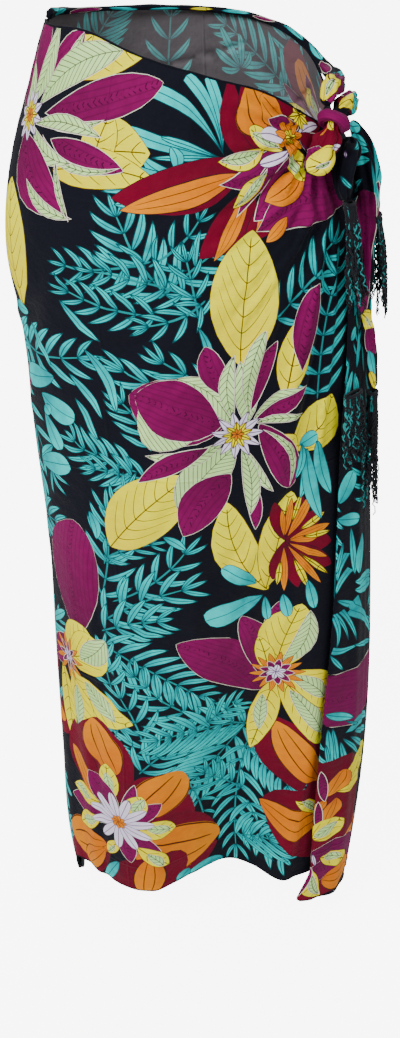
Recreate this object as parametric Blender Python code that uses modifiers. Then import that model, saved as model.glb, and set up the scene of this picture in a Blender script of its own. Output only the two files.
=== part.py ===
"""Sarong wound round a standing figure and tied at the wearer's left hip.

Each stretch of cloth is a wall of even thickness. It follows the outline of the dressed figure, worked
out from a table of sections, and its folds are laid on that outline as soft ridges and troughs.
The knot, its two hanging corners and the rolled waist edge are solid ropes of bunched cloth.
"""
import bmesh
import bpy
import numpy as np
from mathutils import Vector

# Sizes are metres and degrees. +X is the wearer's left, -Y the front and +Z up. The origin is the middle
# of the waist ring. Angles go round the figure: 0 at the wearer's left, -90 in front, 90 behind.
PART = "sarong"
WALL = 0.002
ROUNDNESS = 2.25
METRES_PER_DEGREE = 0.0026

# Outline of the dressed figure.
# Columns: height, reach to the wearer's right, reach to the left, reach forward, reach back.
SECTIONS = (
    (0.040, 0.121, 0.112, 0.092, 0.081),
    (0.000, 0.136, 0.124, 0.104, 0.094),
    (-0.050, 0.152, 0.138, 0.114, 0.108),
    (-0.100, 0.168, 0.154, 0.121, 0.123),
    (-0.150, 0.179, 0.167, 0.126, 0.134),
    (-0.200, 0.183, 0.176, 0.129, 0.139),
    (-0.280, 0.173, 0.183, 0.130, 0.137),
    (-0.400, 0.168, 0.187, 0.129, 0.127),
    (-0.550, 0.160, 0.195, 0.125, 0.116),
    (-0.700, 0.161, 0.200, 0.120, 0.112),
    (-0.850, 0.161, 0.200, 0.116, 0.113),
    (-1.000, 0.160, 0.195, 0.112, 0.117),
    (-1.100, 0.148, 0.189, 0.110, 0.118),
)

# Upper edge and hem of the two wound stretches. Columns: angle, height.
FRONT_TOP = ((-180, 0.012), (-156, 0.016), (-131, 0.019), (-102, 0.001), (-82, -0.014), (-59, -0.031),
             (-40, -0.056), (-25, -0.075), (-6, -0.090))
FRONT_HEM = ((-180, -1.092), (-171, -1.070), (-162, -1.032), (-148, -1.019), (-120, -1.017), (-60, -1.015),
             (-6, -1.030))
BACK_TOP = ((-24, -0.060), (0, -0.052), (30, -0.026), (60, -0.007), (90, 0.000), (120, 0.002),
            (150, 0.006), (180, 0.008), (197, 0.006))
BACK_HEM = ((-24, -1.045), (0, -1.065), (40, -1.088), (90, -1.095), (140, -1.095), (165, -1.094),
            (197, -1.094))
FRONT_START = -180.0
FRONT_END = -6.0
BACK_START = -24.0
BACK_END = 197.0

# How far the back lies inside the figure's outline. It runs on under the front at both sides.
# Columns: angle, depth inwards.
UNDERLAP = ((-24, 0.0065), (12, 0.0065), (28, 0.0032), (44, 0.0), (171, 0.0), (175.5, 0.0014), (179, 0.0027),
            (185, 0.0036), (191, 0.0056), (197, 0.0076))

# Folds. Columns: angle at the top, angle at the bottom, half width, depth outwards, height where it
# starts, height where it is full, height where it ends.
FRONT_FOLDS = (
    (-68, -77, 27, -0.050, -0.36, -1.02, -1.30),
    (-40, -55, 8, 0.009, -0.55, -0.95, -1.30),
    (-118, -112, 20, 0.007, -0.40, -0.90, -1.30),
    (-158, -150, 14, -0.006, -0.45, -0.85, -1.30),
    (-48, -100, 9, 0.0045, -0.09, -0.28, -0.62),
    (-44, -76, 8, 0.0055, -0.11, -0.30, -0.75),
    (-42, -58, 6, 0.0060, -0.12, -0.32, -0.80),
    (-50, -128, 9, 0.0035, -0.07, -0.20, -0.34),
    (-120, -150, 12, -0.0035, -0.10, -0.25, -0.36),
)
BACK_FOLDS = (
    (166, 160, 13, 0.009, -0.30, -0.85, -1.30),
    (140, 136, 12, -0.012, -0.28, -0.90, -1.30),
    (116, 114, 13, 0.012, -0.33, -0.90, -1.30),
    (90, 92, 11, -0.011, -0.30, -0.95, -1.30),
    (66, 70, 12, 0.013, -0.26, -0.85, -1.30),
    (44, 48, 10, -0.010, -0.30, -0.90, -1.30),
    (74, 40, 9, 0.004, -0.03, -0.10, -0.30),
    (114, 84, 10, 0.003, -0.03, -0.12, -0.30),
)

# Gathers of the front that run into the knot, and the puffs that stand out beside it.
KNOT_ANGLE = -41.0
KNOT_HEIGHT = -0.068
GATHERS_PER_TURN = 16
GATHER_DEPTH = 0.0026
GATHER_REACH = 0.110
# Columns: angle, height, half width in degrees, half height, depth outwards.
PUFFS = (
    (-47, -0.140, 9.0, 0.028, 0.0075),
    (-58, -0.082, 7.0, 0.018, 0.0040),
    (-60, -0.160, 8.0, 0.030, 0.0035),
)

# Folded loose end at the left hip, listed from its hidden inner edge, round the fold, to its outer edge.
# Columns: angle at the top, angle at the hem, stand-off at the top, stand-off at the hem, and how much of
# the corner's tuck it takes.
CASCADE_TURNS = (
    (-25.0, -17.0, 0.0017, 0.0050, 0.0),
    (-27.5, -23.0, 0.0017, 0.0052, 0.3),
    (-30.0, -29.0, 0.0018, 0.0054, 0.6),
    (-32.2, -34.5, 0.0021, 0.0056, 0.9),
    (-33.6, -37.2, 0.0027, 0.0066, 1.0),
    (-34.2, -38.3, 0.0042, 0.0092, 1.0),
    (-33.6, -37.6, 0.0057, 0.0122, 1.0),
    (-32.2, -35.2, 0.0064, 0.0140, 0.9),
    (-30.4, -30.5, 0.0068, 0.0158, 0.7),
    (-28.4, -24.5, 0.0068, 0.0172, 0.4),
    (-26.4, -17.5, 0.0068, 0.0176, 0.2),
    (-24.4, -10.0, 0.0067, 0.0168, 0.0),
    (-22.6, -2.0, 0.0065, 0.0140, 0.0),
    (-21.0, 6.0, 0.0050, 0.0105, 0.0),
    (-19.6, 13.0, 0.0032, 0.0066, 0.0),
    (-18.4, 18.0, 0.0017, 0.0030, 0.0),
)
CASCADE_TOP = -0.210
CASCADE_FULL_WIDTH = -0.480
CASCADE_LOOSE_FROM = -0.340
CASCADE_LOOSE_TO = -0.950
# Columns: share of the way round the fold, height of the hem.
CASCADE_HEM = ((0.0, -1.020), (0.2, -1.048), (0.45, -1.065), (0.72, -1.067), (0.88, -1.072), (1.0, -1.077))
CASCADE_TUCK_FROM = -1.000
CASCADE_TUCK_TO = -1.067
CASCADE_TUCK_ANGLE = -7.5
CASCADE_TUCK_IN = -0.0030
CASCADE_ROWS = 19

# Rolled upper edge of the back. Columns: angle, height, stand-off, half height, half depth, turn.
ROLL = (
    (176.0, 0.0145, -0.0010, 0.0046, 0.0036, 0),
    (162.0, 0.0121, -0.0010, 0.0046, 0.0036, 70),
    (145.0, 0.0079, -0.0010, 0.0028, 0.0024, 150),
    (125.0, 0.0051, -0.0010, 0.0027, 0.0022, 260),
    (105.0, 0.0035, -0.0010, 0.0027, 0.0022, 370),
    (85.0, 0.0017, -0.0010, 0.0027, 0.0022, 480),
    (65.0, -0.0025, -0.0010, 0.0028, 0.0024, 590),
    (45.0, -0.0117, -0.0014, 0.0036, 0.0028, 690),
    (27.0, -0.0229, -0.0030, 0.0048, 0.0036, 770),
    (10.0, -0.0358, -0.0015, 0.0062, 0.0046, 840),
    (-5.0, -0.0398, 0.0045, 0.0082, 0.0064, 890),
    (-18.0, -0.0363, 0.0090, 0.0094, 0.0076, 940),
    (-27.0, -0.0333, 0.0115, 0.0090, 0.0074, 970),
    (-31.5, -0.0388, 0.0125, 0.0074, 0.0062, 1000),
    (-34.5, -0.0463, 0.0120, 0.0042, 0.0040, 1030),
)
ROLL_RINGS = 48

# Ropes of bunched cloth. Columns: x, y, z, half width, half depth, turn.
KNOT_LOBES = (
    (0.1062, -0.1021, -0.0980, 0.0045, 0.0040, 0),
    (0.1116, -0.1013, -0.0940, 0.0100, 0.0080, 15),
    (0.1189, -0.0988, -0.0885, 0.0132, 0.0105, 30),
    (0.1237, -0.0923, -0.0810, 0.0112, 0.0092, 40),
    (0.1282, -0.0866, -0.0727, 0.0120, 0.0100, 50),
    (0.1304, -0.0821, -0.0660, 0.0064, 0.0060, 60),
    (0.1324, -0.0791, -0.0595, 0.0050, 0.0050, 70),
    (0.1364, -0.0726, -0.0550, 0.0056, 0.0054, 85),
    (0.1427, -0.0616, -0.0505, 0.0096, 0.0085, 105),
    (0.1489, -0.0516, -0.0495, 0.0096, 0.0084, 125),
    (0.1539, -0.0416, -0.0495, 0.0048, 0.0042, 140),
)
FRONT_TAIL = (
    (0.1488, -0.0564, -0.0798, 0.0050, 0.0046, 0),
    (0.1496, -0.0619, -0.0878, 0.0096, 0.0080, 20),
    (0.1461, -0.0732, -0.0958, 0.0115, 0.0096, 50),
    (0.1431, -0.0824, -0.1068, 0.0112, 0.0094, 80),
    (0.1444, -0.0834, -0.1203, 0.0088, 0.0076, 110),
    (0.1468, -0.0829, -0.1318, 0.0050, 0.0046, 130),
)
BACK_TAIL = (
    (0.1547, -0.0200, -0.0760, 0.0045, 0.0040, 0),
    (0.1627, -0.0220, -0.0900, 0.0085, 0.0065, 15),
    (0.1677, -0.0250, -0.1030, 0.0115, 0.0090, 30),
    (0.1697, -0.0310, -0.1190, 0.0125, 0.0100, 50),
    (0.1715, -0.0400, -0.1370, 0.0125, 0.0098, 70),
    (0.1723, -0.0508, -0.1578, 0.0112, 0.0090, 90),
    (0.1707, -0.0630, -0.1788, 0.0090, 0.0080, 120),
    (0.1696, -0.0785, -0.2025, 0.0092, 0.0080, 160),
    (0.1704, -0.0790, -0.2312, 0.0074, 0.0066, 200),
    (0.1755, -0.0722, -0.2558, 0.0056, 0.0050, 250),
    (0.1808, -0.0675, -0.2817, 0.0062, 0.0054, 310),
    (0.1857, -0.0603, -0.3129, 0.0055, 0.0050, 380),
    (0.1892, -0.0545, -0.3417, 0.0042, 0.0040, 440),
)
KNOT_LOBE_RINGS = 30
FRONT_TAIL_RINGS = 16
BACK_TAIL_RINGS = 34

# Closing turn of the knot: the row of the lobes that it goes round, its ring and its band.
KNOT_ROW = 6
KNOT_RING_RADIUS = 0.0107
KNOT_BAND_RADIUS = 0.0048

# Fringe: strands hung from a narrow backing strip that is bent round an oval.
# Columns: name, angle, height, stand-off, half oval along, half oval outwards, first and last turn on the
# oval, strands, length, spread, lean along, lean outwards.
FRINGES = (
    ("front_tail_fringe", -34.0, -0.1327, 0.0160, 0.0052, 0.0046, 0, 360, 14, 0.092, 0.60, -0.010, 0.004),
    ("back_tail_fringe", -20.0, -0.3429, 0.0150, 0.0055, 0.0045, 0, 360, 14, 0.125, 0.90, -0.004, 0.000),
    ("upper_side_fringe", -18.5, -0.1560, 0.0120, 0.0148, 0.0132, -30, 120, 12, 0.095, 0.10, 0.004, 0.003),
    ("lower_side_fringe", -33.5, -0.3310, 0.0120, 0.0120, 0.0034, 0, 360, 20, 0.072, 0.30, 0.002, 0.003),
)
BACKING_HEIGHT = 0.0034
BACKING_THICKNESS = 0.0018
STRAND_AT_ROOT = 0.0013
STRAND_AT_TIP = 0.0008
STRAND_STEPS = (0.05, 0.30, 0.55, 0.78, 1.00)
STRAND_WAVE = 0.0020

# Columns: name, red, green, blue.
COLOURS = (
    ("front_wrap", 0.020, 0.016, 0.030),
    ("back_wrap", 0.024, 0.020, 0.034),
    ("back_waist_roll", 0.040, 0.180, 0.170),
    ("side_cascade", 0.110, 0.012, 0.060),
    ("knot_band", 0.330, 0.060, 0.240),
    ("knot_lobes", 0.500, 0.030, 0.070),
    ("front_tail", 0.020, 0.018, 0.032),
    ("back_tail", 0.060, 0.300, 0.290),
    ("front_tail_fringe", 0.012, 0.012, 0.018),
    ("back_tail_fringe", 0.012, 0.012, 0.018),
    ("upper_side_fringe", 0.012, 0.014, 0.020),
    ("lower_side_fringe", 0.012, 0.012, 0.018),
)


def smooth(keys, values, at):
    """Read a curve through the table's values, with the slope carried across each of its rows."""
    keys = np.asarray(keys, float)
    values = np.asarray(values, float)
    at = np.clip(at, keys[0], keys[-1])
    slopes = np.gradient(values, keys)
    i = np.clip(np.searchsorted(keys, at) - 1, 0, len(keys) - 2)
    width = keys[i + 1] - keys[i]
    t = (at - keys[i]) / width
    start = (1 + 2 * t) * (1 - t) ** 2 * values[i] + t * (1 - t) ** 2 * width * slopes[i]
    end = t ** 2 * (3 - 2 * t) * values[i + 1] + t ** 2 * (t - 1) * width * slopes[i + 1]
    return start + end


def ease(start, end, at):
    """Go from 0 at the start to 1 at the end, level at both."""
    t = np.clip((at - start) / (end - start), 0.0, 1.0)
    return t * t * (3 - 2 * t)


def edge(table, at):
    """Read a table of two columns at each place along an edge."""
    rows = np.array(table)
    return smooth(rows[:, 0], rows[:, 1], at)


def figure(angle, height, stand_off):
    """Points on the outline of the dressed figure, moved out by the stand-off."""
    rows = np.array(SECTIONS)[::-1]
    right, left, front, back = (smooth(rows[:, 0], rows[:, k], height) for k in range(1, 5))
    turn = np.radians(angle)
    across = np.where(np.cos(turn) >= 0, left, right)
    deep = np.where(np.sin(turn) >= 0, back, front)
    x = np.sign(np.cos(turn)) * np.abs(np.cos(turn)) ** (2 / ROUNDNESS)
    y = np.sign(np.sin(turn)) * np.abs(np.sin(turn)) ** (2 / ROUNDNESS)
    nx = np.sign(x) * np.abs(x) ** (ROUNDNESS - 1) / across
    ny = np.sign(y) * np.abs(y) ** (ROUNDNESS - 1) / deep
    size = np.hypot(nx, ny)
    return np.stack([x * across + nx / size * stand_off, y * deep + ny / size * stand_off,
                     height + 0.0 * turn], -1)


def fold_depth(table, angle, height):
    """Depth outwards of all the folds of a stretch."""
    depth = np.zeros(np.broadcast(angle, height).shape)
    for top_angle, hem_angle, half_width, out, start, full, end in table:
        middle = top_angle + (hem_angle - top_angle) * (height - start) / (full - start)
        across = np.clip(np.abs(angle - middle) / half_width, 0.0, 1.0)
        down = ease(start, full, height)
        if end > -1.2:
            down = down * ease(end, full, height)
        depth = depth + out * np.cos(across * np.pi / 2) ** 2 * down
    return depth


def knot_depth(angle, height):
    """Depth outwards of the gathers and puffs beside the knot."""
    along = (angle - KNOT_ANGLE) * METRES_PER_DEGREE
    up = height - KNOT_HEIGHT
    reach = np.hypot(along, up)
    turn = np.arctan2(up, along)
    shown = ease(0.014, 0.040, reach) * (1 - ease(0.035, GATHER_REACH, reach))
    depth = GATHER_DEPTH * np.cos(GATHERS_PER_TURN * turn) * shown
    for puff_angle, puff_height, half_angle, half_height, out in PUFFS:
        spot = np.hypot((angle - puff_angle) / half_angle, (height - puff_height) / half_height)
        depth = depth + out * np.cos(np.clip(spot, 0.0, 1.0) * np.pi / 2) ** 2
    return depth


def new_object(name, points, faces, material):
    """Make a mesh object with its outside facing out."""
    mesh = bpy.data.meshes.new(name)
    mesh.from_pydata([tuple(p) for p in points], [], faces)
    mesh.validate()
    work = bmesh.new()
    work.from_mesh(mesh)
    bmesh.ops.recalc_face_normals(work, faces=work.faces)
    work.to_mesh(mesh)
    work.free()
    mesh.materials.append(material)
    obj = bpy.data.objects.new(name, mesh)
    PARTS.objects.link(obj)
    return obj


def sheet(name, grid, offset, material):
    """Make a wall of cloth from a grid of points whose rows run down and whose columns run round."""
    rows, columns = grid.shape[:2]
    points = grid.reshape(-1, 3)
    faces = []
    for i in range(rows - 1):
        for j in range(columns - 1):
            k = i * columns + j
            faces.append((k, k + columns, k + columns + 1, k + 1))
    mesh = bpy.data.meshes.new(name)
    mesh.from_pydata([tuple(p) for p in points], [], faces)
    mesh.materials.append(material)
    obj = bpy.data.objects.new(name, mesh)
    PARTS.objects.link(obj)
    wall = obj.modifiers.new("wall", "SOLIDIFY")
    wall.thickness = WALL
    wall.offset = offset
    wall.use_even_offset = True
    wall.use_quality_normals = True
    return obj


def rope(name, rows, rings, sides, material):
    """Make a solid rope of bunched cloth along the rows' points."""
    rows = np.array(rows, float)
    gaps = np.linalg.norm(np.diff(rows[:, :3], axis=0), axis=1)
    keys = np.concatenate([[0.0], np.cumsum(gaps)])
    at = np.linspace(0.0, keys[-1], rings)
    centre = np.stack([smooth(keys, rows[:, k], at) for k in range(3)], -1)
    wide, deep, turn = (smooth(keys, rows[:, k], at) for k in (3, 4, 5))
    along = np.gradient(centre, axis=0)
    along /= np.linalg.norm(along, axis=1)[:, None]
    side = np.cross(along[0], (0.0, 0.0, 1.0))
    points = []
    for k in range(rings):
        side = side - along[k] * (side @ along[k])
        side /= np.linalg.norm(side)
        other = np.cross(along[k], side)
        phase = np.radians(turn[k])
        for j in range(sides):
            a = 2 * np.pi * j / sides
            flat = np.array([wide[k] * np.cos(a), deep[k] * np.sin(a)])
            u = flat[0] * np.cos(phase) - flat[1] * np.sin(phase)
            v = flat[0] * np.sin(phase) + flat[1] * np.cos(phase)
            points.append(centre[k] + side * u + other * v)
    faces = []
    for k in range(rings - 1):
        for j in range(sides):
            a = k * sides + j
            b = k * sides + (j + 1) % sides
            faces.append((a, b, b + sides, a + sides))
    faces.append(tuple(range(sides)))
    faces.append(tuple((rings - 1) * sides + j for j in range(sides)))
    return new_object(name, points, faces, material)


def knot_band(material):
    """Make the closing turn of the knot as a ring round its lobes."""
    rows = np.array(KNOT_LOBES)[:, :3]
    centre = rows[KNOT_ROW]
    along = Vector(rows[KNOT_ROW + 1] - rows[KNOT_ROW - 1])
    bpy.ops.mesh.primitive_torus_add(
        major_segments=22, minor_segments=8, major_radius=KNOT_RING_RADIUS,
        minor_radius=KNOT_BAND_RADIUS, location=tuple(centre),
        rotation=along.to_track_quat("Z", "Y").to_euler())
    obj = bpy.context.object
    obj.name = "knot_band"
    obj.data.name = "knot_band"
    obj.data.materials.append(material)
    for collection in list(obj.users_collection):
        collection.objects.unlink(obj)
    PARTS.objects.link(obj)
    return obj


def fringe(row, material):
    """Make one clump of fringe: its backing strip and the strands that grow out of its lower face."""
    (name, angle, height, stand_off, half_along, half_out, first, last, count, length, spread,
     lean_along, lean_out) = row
    closed = last - first >= 360
    stations = count if closed else count + 1
    turns = np.radians(first + (last - first) * np.arange(stations) / count)
    points = []
    for down in (0.0, BACKING_HEIGHT):
        for shift in (BACKING_THICKNESS / 2, -BACKING_THICKNESS / 2):
            along = (half_along + shift) * np.cos(turns)
            out = (half_out + shift) * np.sin(turns)
            where = angle + along / METRES_PER_DEGREE
            points.extend(figure(where, np.full(stations, height - down), stand_off + out))
    top_outer, top_inner, low_outer, low_inner = (k * stations for k in range(4))
    faces = []
    for k in range(count):
        n = (k + 1) % stations
        faces.append((top_outer + k, top_outer + n, low_outer + n, low_outer + k))
        faces.append((top_inner + k, low_inner + k, low_inner + n, top_inner + n))
        faces.append((top_outer + k, top_inner + k, top_inner + n, top_outer + n))
    if not closed:
        for k in (0, count):
            faces.append((top_outer + k, low_outer + k, low_inner + k, top_inner + k))
    for k in range(count):
        n = (k + 1) % stations
        ring = [low_outer + k, low_outer + n, low_inner + n, low_inner + k]
        turn = np.radians(first + (last - first) * (k + 0.5) / count)
        own_length = length * (1.0 + 0.14 * np.sin(2.4 * k) - 0.10 * np.cos(1.1 * k))
        for step in STRAND_STEPS:
            half = (STRAND_AT_ROOT + (STRAND_AT_TIP - STRAND_AT_ROOT) * step) / 2
            grown = 1.0 + spread * step
            wave = STRAND_WAVE * np.sin(7.0 * step) * step
            along = half_along * grown * np.cos(turn) + lean_along * step + wave
            out = half_out * np.sin(turn) + lean_out * step
            if out > 0:
                out = out * grown
            start = len(points)
            for radial, sideways in ((1, -1), (1, 1), (-1, 1), (-1, -1)):
                u = along + half * (radial * np.cos(turn) - sideways * np.sin(turn))
                v = out + half * (radial * np.sin(turn) + sideways * np.cos(turn))
                level = height - BACKING_HEIGHT - own_length * step
                points.append(figure(angle + u / METRES_PER_DEGREE, level, stand_off + v))
            new_ring = list(range(start, start + 4))
            for j in range(4):
                faces.append((ring[j], ring[(j + 1) % 4], new_ring[(j + 1) % 4], new_ring[j]))
            ring = new_ring
        faces.append(tuple(ring))
    return new_object(name, points, faces, material)


def front_wrap(material):
    """The stretch across the front."""
    angles = np.concatenate([
        np.linspace(FRONT_START, -66.0, 23)[:-1],
        np.linspace(-66.0, -30.0, 15)[:-1],
        np.linspace(-30.0, FRONT_END, 6),
    ])
    down = np.concatenate([np.linspace(0.0, 0.165, 12)[:-1], np.linspace(0.165, 1.0, 17)])
    angle, v = np.meshgrid(angles, down)
    height = edge(FRONT_TOP, angle) * (1 - v) + edge(FRONT_HEM, angle) * v
    depth = fold_depth(FRONT_FOLDS, angle, height) + knot_depth(angle, height)
    return sheet("front_wrap", figure(angle, height, depth), -1.0, material)


def back_wrap(material):
    """The stretch round the back, which runs on under the front at both sides."""
    angles = np.concatenate([np.linspace(BACK_START, 171.0, 34)[:-1], np.linspace(171.0, BACK_END, 8)])
    angle, v = np.meshgrid(angles, np.linspace(0.0, 1.0, 20))
    height = edge(BACK_TOP, angle) * (1 - v) + edge(BACK_HEM, angle) * v
    depth = fold_depth(BACK_FOLDS, angle, height) - edge(UNDERLAP, angle)
    return sheet("back_wrap", figure(angle, height, depth), -1.0, material)


def side_cascade(material):
    """The folded loose end that hangs from below the knot to the floor."""
    turns = np.array(CASCADE_TURNS)
    heights = np.linspace(0.0, 1.0, CASCADE_ROWS)[:, None]
    share = np.linspace(0.0, 1.0, len(turns))[None, :]
    low = edge(CASCADE_HEM, share)
    height = CASCADE_TOP + (low - CASCADE_TOP) * heights
    width = ease(CASCADE_TOP, CASCADE_FULL_WIDTH, height)
    loose = ease(CASCADE_LOOSE_FROM, CASCADE_LOOSE_TO, height)
    tuck = ease(CASCADE_TUCK_FROM, CASCADE_TUCK_TO, height) * turns[:, 4]
    angle = turns[:, 0] + (turns[:, 1] - turns[:, 0]) * width + CASCADE_TUCK_ANGLE * tuck
    stand_off = turns[:, 2] + (turns[:, 3] - turns[:, 2]) * loose + CASCADE_TUCK_IN * tuck
    return sheet("side_cascade", figure(angle, height, stand_off), 0.0, material)


def waist_roll(material):
    """The rolled upper edge of the back, from the right side round to the knot."""
    rows = np.array(ROLL)
    centre = figure(rows[:, 0], rows[:, 1], rows[:, 2])
    ends = np.column_stack([centre, rows[:, 4], rows[:, 3], rows[:, 5]])
    return rope("back_waist_roll", ends, ROLL_RINGS, 8, material)


def main():
    """Build every stretch, the knot, its tails and the fringe."""
    paint = {}
    for name, red, green, blue in COLOURS:
        material = bpy.data.materials.new(name)
        material.use_nodes = True
        shader = material.node_tree.nodes["Principled BSDF"]
        shader.inputs["Base Color"].default_value = (red, green, blue, 1.0)
        shader.inputs["Roughness"].default_value = 0.8
        paint[name] = material
    front_wrap(paint["front_wrap"])
    back_wrap(paint["back_wrap"])
    side_cascade(paint["side_cascade"])
    waist_roll(paint["back_waist_roll"])
    knot_band(paint["knot_band"])
    rope("knot_lobes", KNOT_LOBES, KNOT_LOBE_RINGS, 10, paint["knot_lobes"])
    rope("front_tail", FRONT_TAIL, FRONT_TAIL_RINGS, 10, paint["front_tail"])
    rope("back_tail", BACK_TAIL, BACK_TAIL_RINGS, 10, paint["back_tail"])
    for row in FRINGES:
        fringe(row, paint[row[0]])


for old in list(bpy.data.objects):
    bpy.data.objects.remove(old, do_unlink=True)
PARTS = bpy.data.collections.new(PART)
bpy.context.scene.collection.children.link(PARTS)
main()
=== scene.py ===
"""Looks of the sarong: printed cloth wound round a figure, knotted at the left hip, with twisted fringe.

Every stretch of cloth is drawn on the flat first. Its motifs (petals, leaves, fern fronds) are shapes worked
out by formula, and the flat cloth is cut into triangles along their outlines. The flat cloth is then carried
onto the dressed figure, a surface of two parameters: metres along the cloth and height.

Units are metres and degrees. +X is the wearer's left, -Y the front and +Z up. The origin is the middle of the
waist ring. Angles go round the figure: 0 at the wearer's left, -90 in front, 90 behind.
"""
from __future__ import annotations

import logging
import math
from dataclasses import dataclass, field
from enum import IntEnum
from itertools import chain
from typing import Callable, Sequence

import bpy
import numpy as np
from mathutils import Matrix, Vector
from mathutils.geometry import delaunay_2d_cdt

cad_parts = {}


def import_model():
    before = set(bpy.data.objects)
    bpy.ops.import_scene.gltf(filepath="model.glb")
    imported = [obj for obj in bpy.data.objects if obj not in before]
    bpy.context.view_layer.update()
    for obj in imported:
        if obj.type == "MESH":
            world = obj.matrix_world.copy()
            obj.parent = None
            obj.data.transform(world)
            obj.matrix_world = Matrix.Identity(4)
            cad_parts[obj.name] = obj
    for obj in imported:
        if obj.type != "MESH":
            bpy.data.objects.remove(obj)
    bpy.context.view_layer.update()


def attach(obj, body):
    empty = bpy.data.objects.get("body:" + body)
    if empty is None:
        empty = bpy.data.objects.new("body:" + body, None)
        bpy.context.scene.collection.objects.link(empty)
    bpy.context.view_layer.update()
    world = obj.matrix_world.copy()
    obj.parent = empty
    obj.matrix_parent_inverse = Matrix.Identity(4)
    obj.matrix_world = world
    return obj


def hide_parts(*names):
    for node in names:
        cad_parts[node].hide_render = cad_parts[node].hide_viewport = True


LOG = logging.getLogger("sarong")
Array = np.ndarray
Surface = Callable[[Array, Array], Array]
Table = Sequence[Sequence[float]]
Colour = tuple[float, float, float]
Place = tuple[float, float, float]
# Metres along the flat cloth, and height.
Spot = tuple[float, float]
Coats = Sequence[bpy.types.Material]
Socket = bpy.types.NodeSocket

FLOOR = -1.100
# Metres of cloth in one degree round the figure, near the knot.
METRES_PER_DEGREE = 0.0026


def smooth(keys: Array, values: Array, at: Array) -> Array:
    """Read a curve through a table's values, with the slope carried across each of its rows.

    Args:
        keys: Where the values are given, rising.
        values: The value at each key.
        at: Where to read the curve.

    Returns:
        The curve's value at each place, by a cubic between neighbouring rows.
    """
    keys = np.asarray(keys, float)
    values = np.asarray(values, float)
    at = np.clip(at, keys[0], keys[-1])
    slopes = np.gradient(values, keys)
    i = np.clip(np.searchsorted(keys, at) - 1, 0, len(keys) - 2)
    width = keys[i + 1] - keys[i]
    t = (at - keys[i]) / width
    start = (1 + 2 * t) * (1 - t) ** 2 * values[i] + t * (1 - t) ** 2 * width * slopes[i]
    end = t**2 * (3 - 2 * t) * values[i + 1] + t**2 * (t - 1) * width * slopes[i + 1]
    return start + end


def ease(start: float, end: float, at: Array) -> Array:
    """Go from 0 at the start to 1 at the end, level at both."""
    t = np.clip((at - start) / (end - start), 0.0, 1.0)
    return t * t * (3 - 2 * t)


def read(table: Table, at: Array) -> Array:
    """Read a table of two columns, place and value, along an edge."""
    rows = np.array(table)
    return smooth(rows[:, 0], rows[:, 1], at)


def bell(distance: Array) -> Array:
    """A soft hump: 1 in the middle, level with nothing at a distance of 1."""
    return np.cos(np.clip(distance, 0.0, 1.0) * np.pi / 2) ** 2


def mapped(share: Array) -> Array:
    """Place on a flat map at a share of its side, kept off the map's edges."""
    return share * 0.98 + 0.01


def listed(text: str, *ending: int) -> list[tuple]:
    """Rows of a table written as text, in whole numbers and ink letters.

    Args:
        text: The table. A semicolon or the end of a line ends a row, and # starts a comment.
        ending: The last columns of the rows that leave them out.

    Returns:
        The rows, each as long as the longest.
    """
    lines = (line.split("#")[0] for line in text.splitlines())
    rows = [row.split() for line in lines for row in line.split(";") if row.strip()]
    width = max(map(len, rows))
    return [(*(word if word.isalpha() else int(word) for word in row), *ending[len(ending) + len(row) - width:])
            for row in rows]


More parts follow.
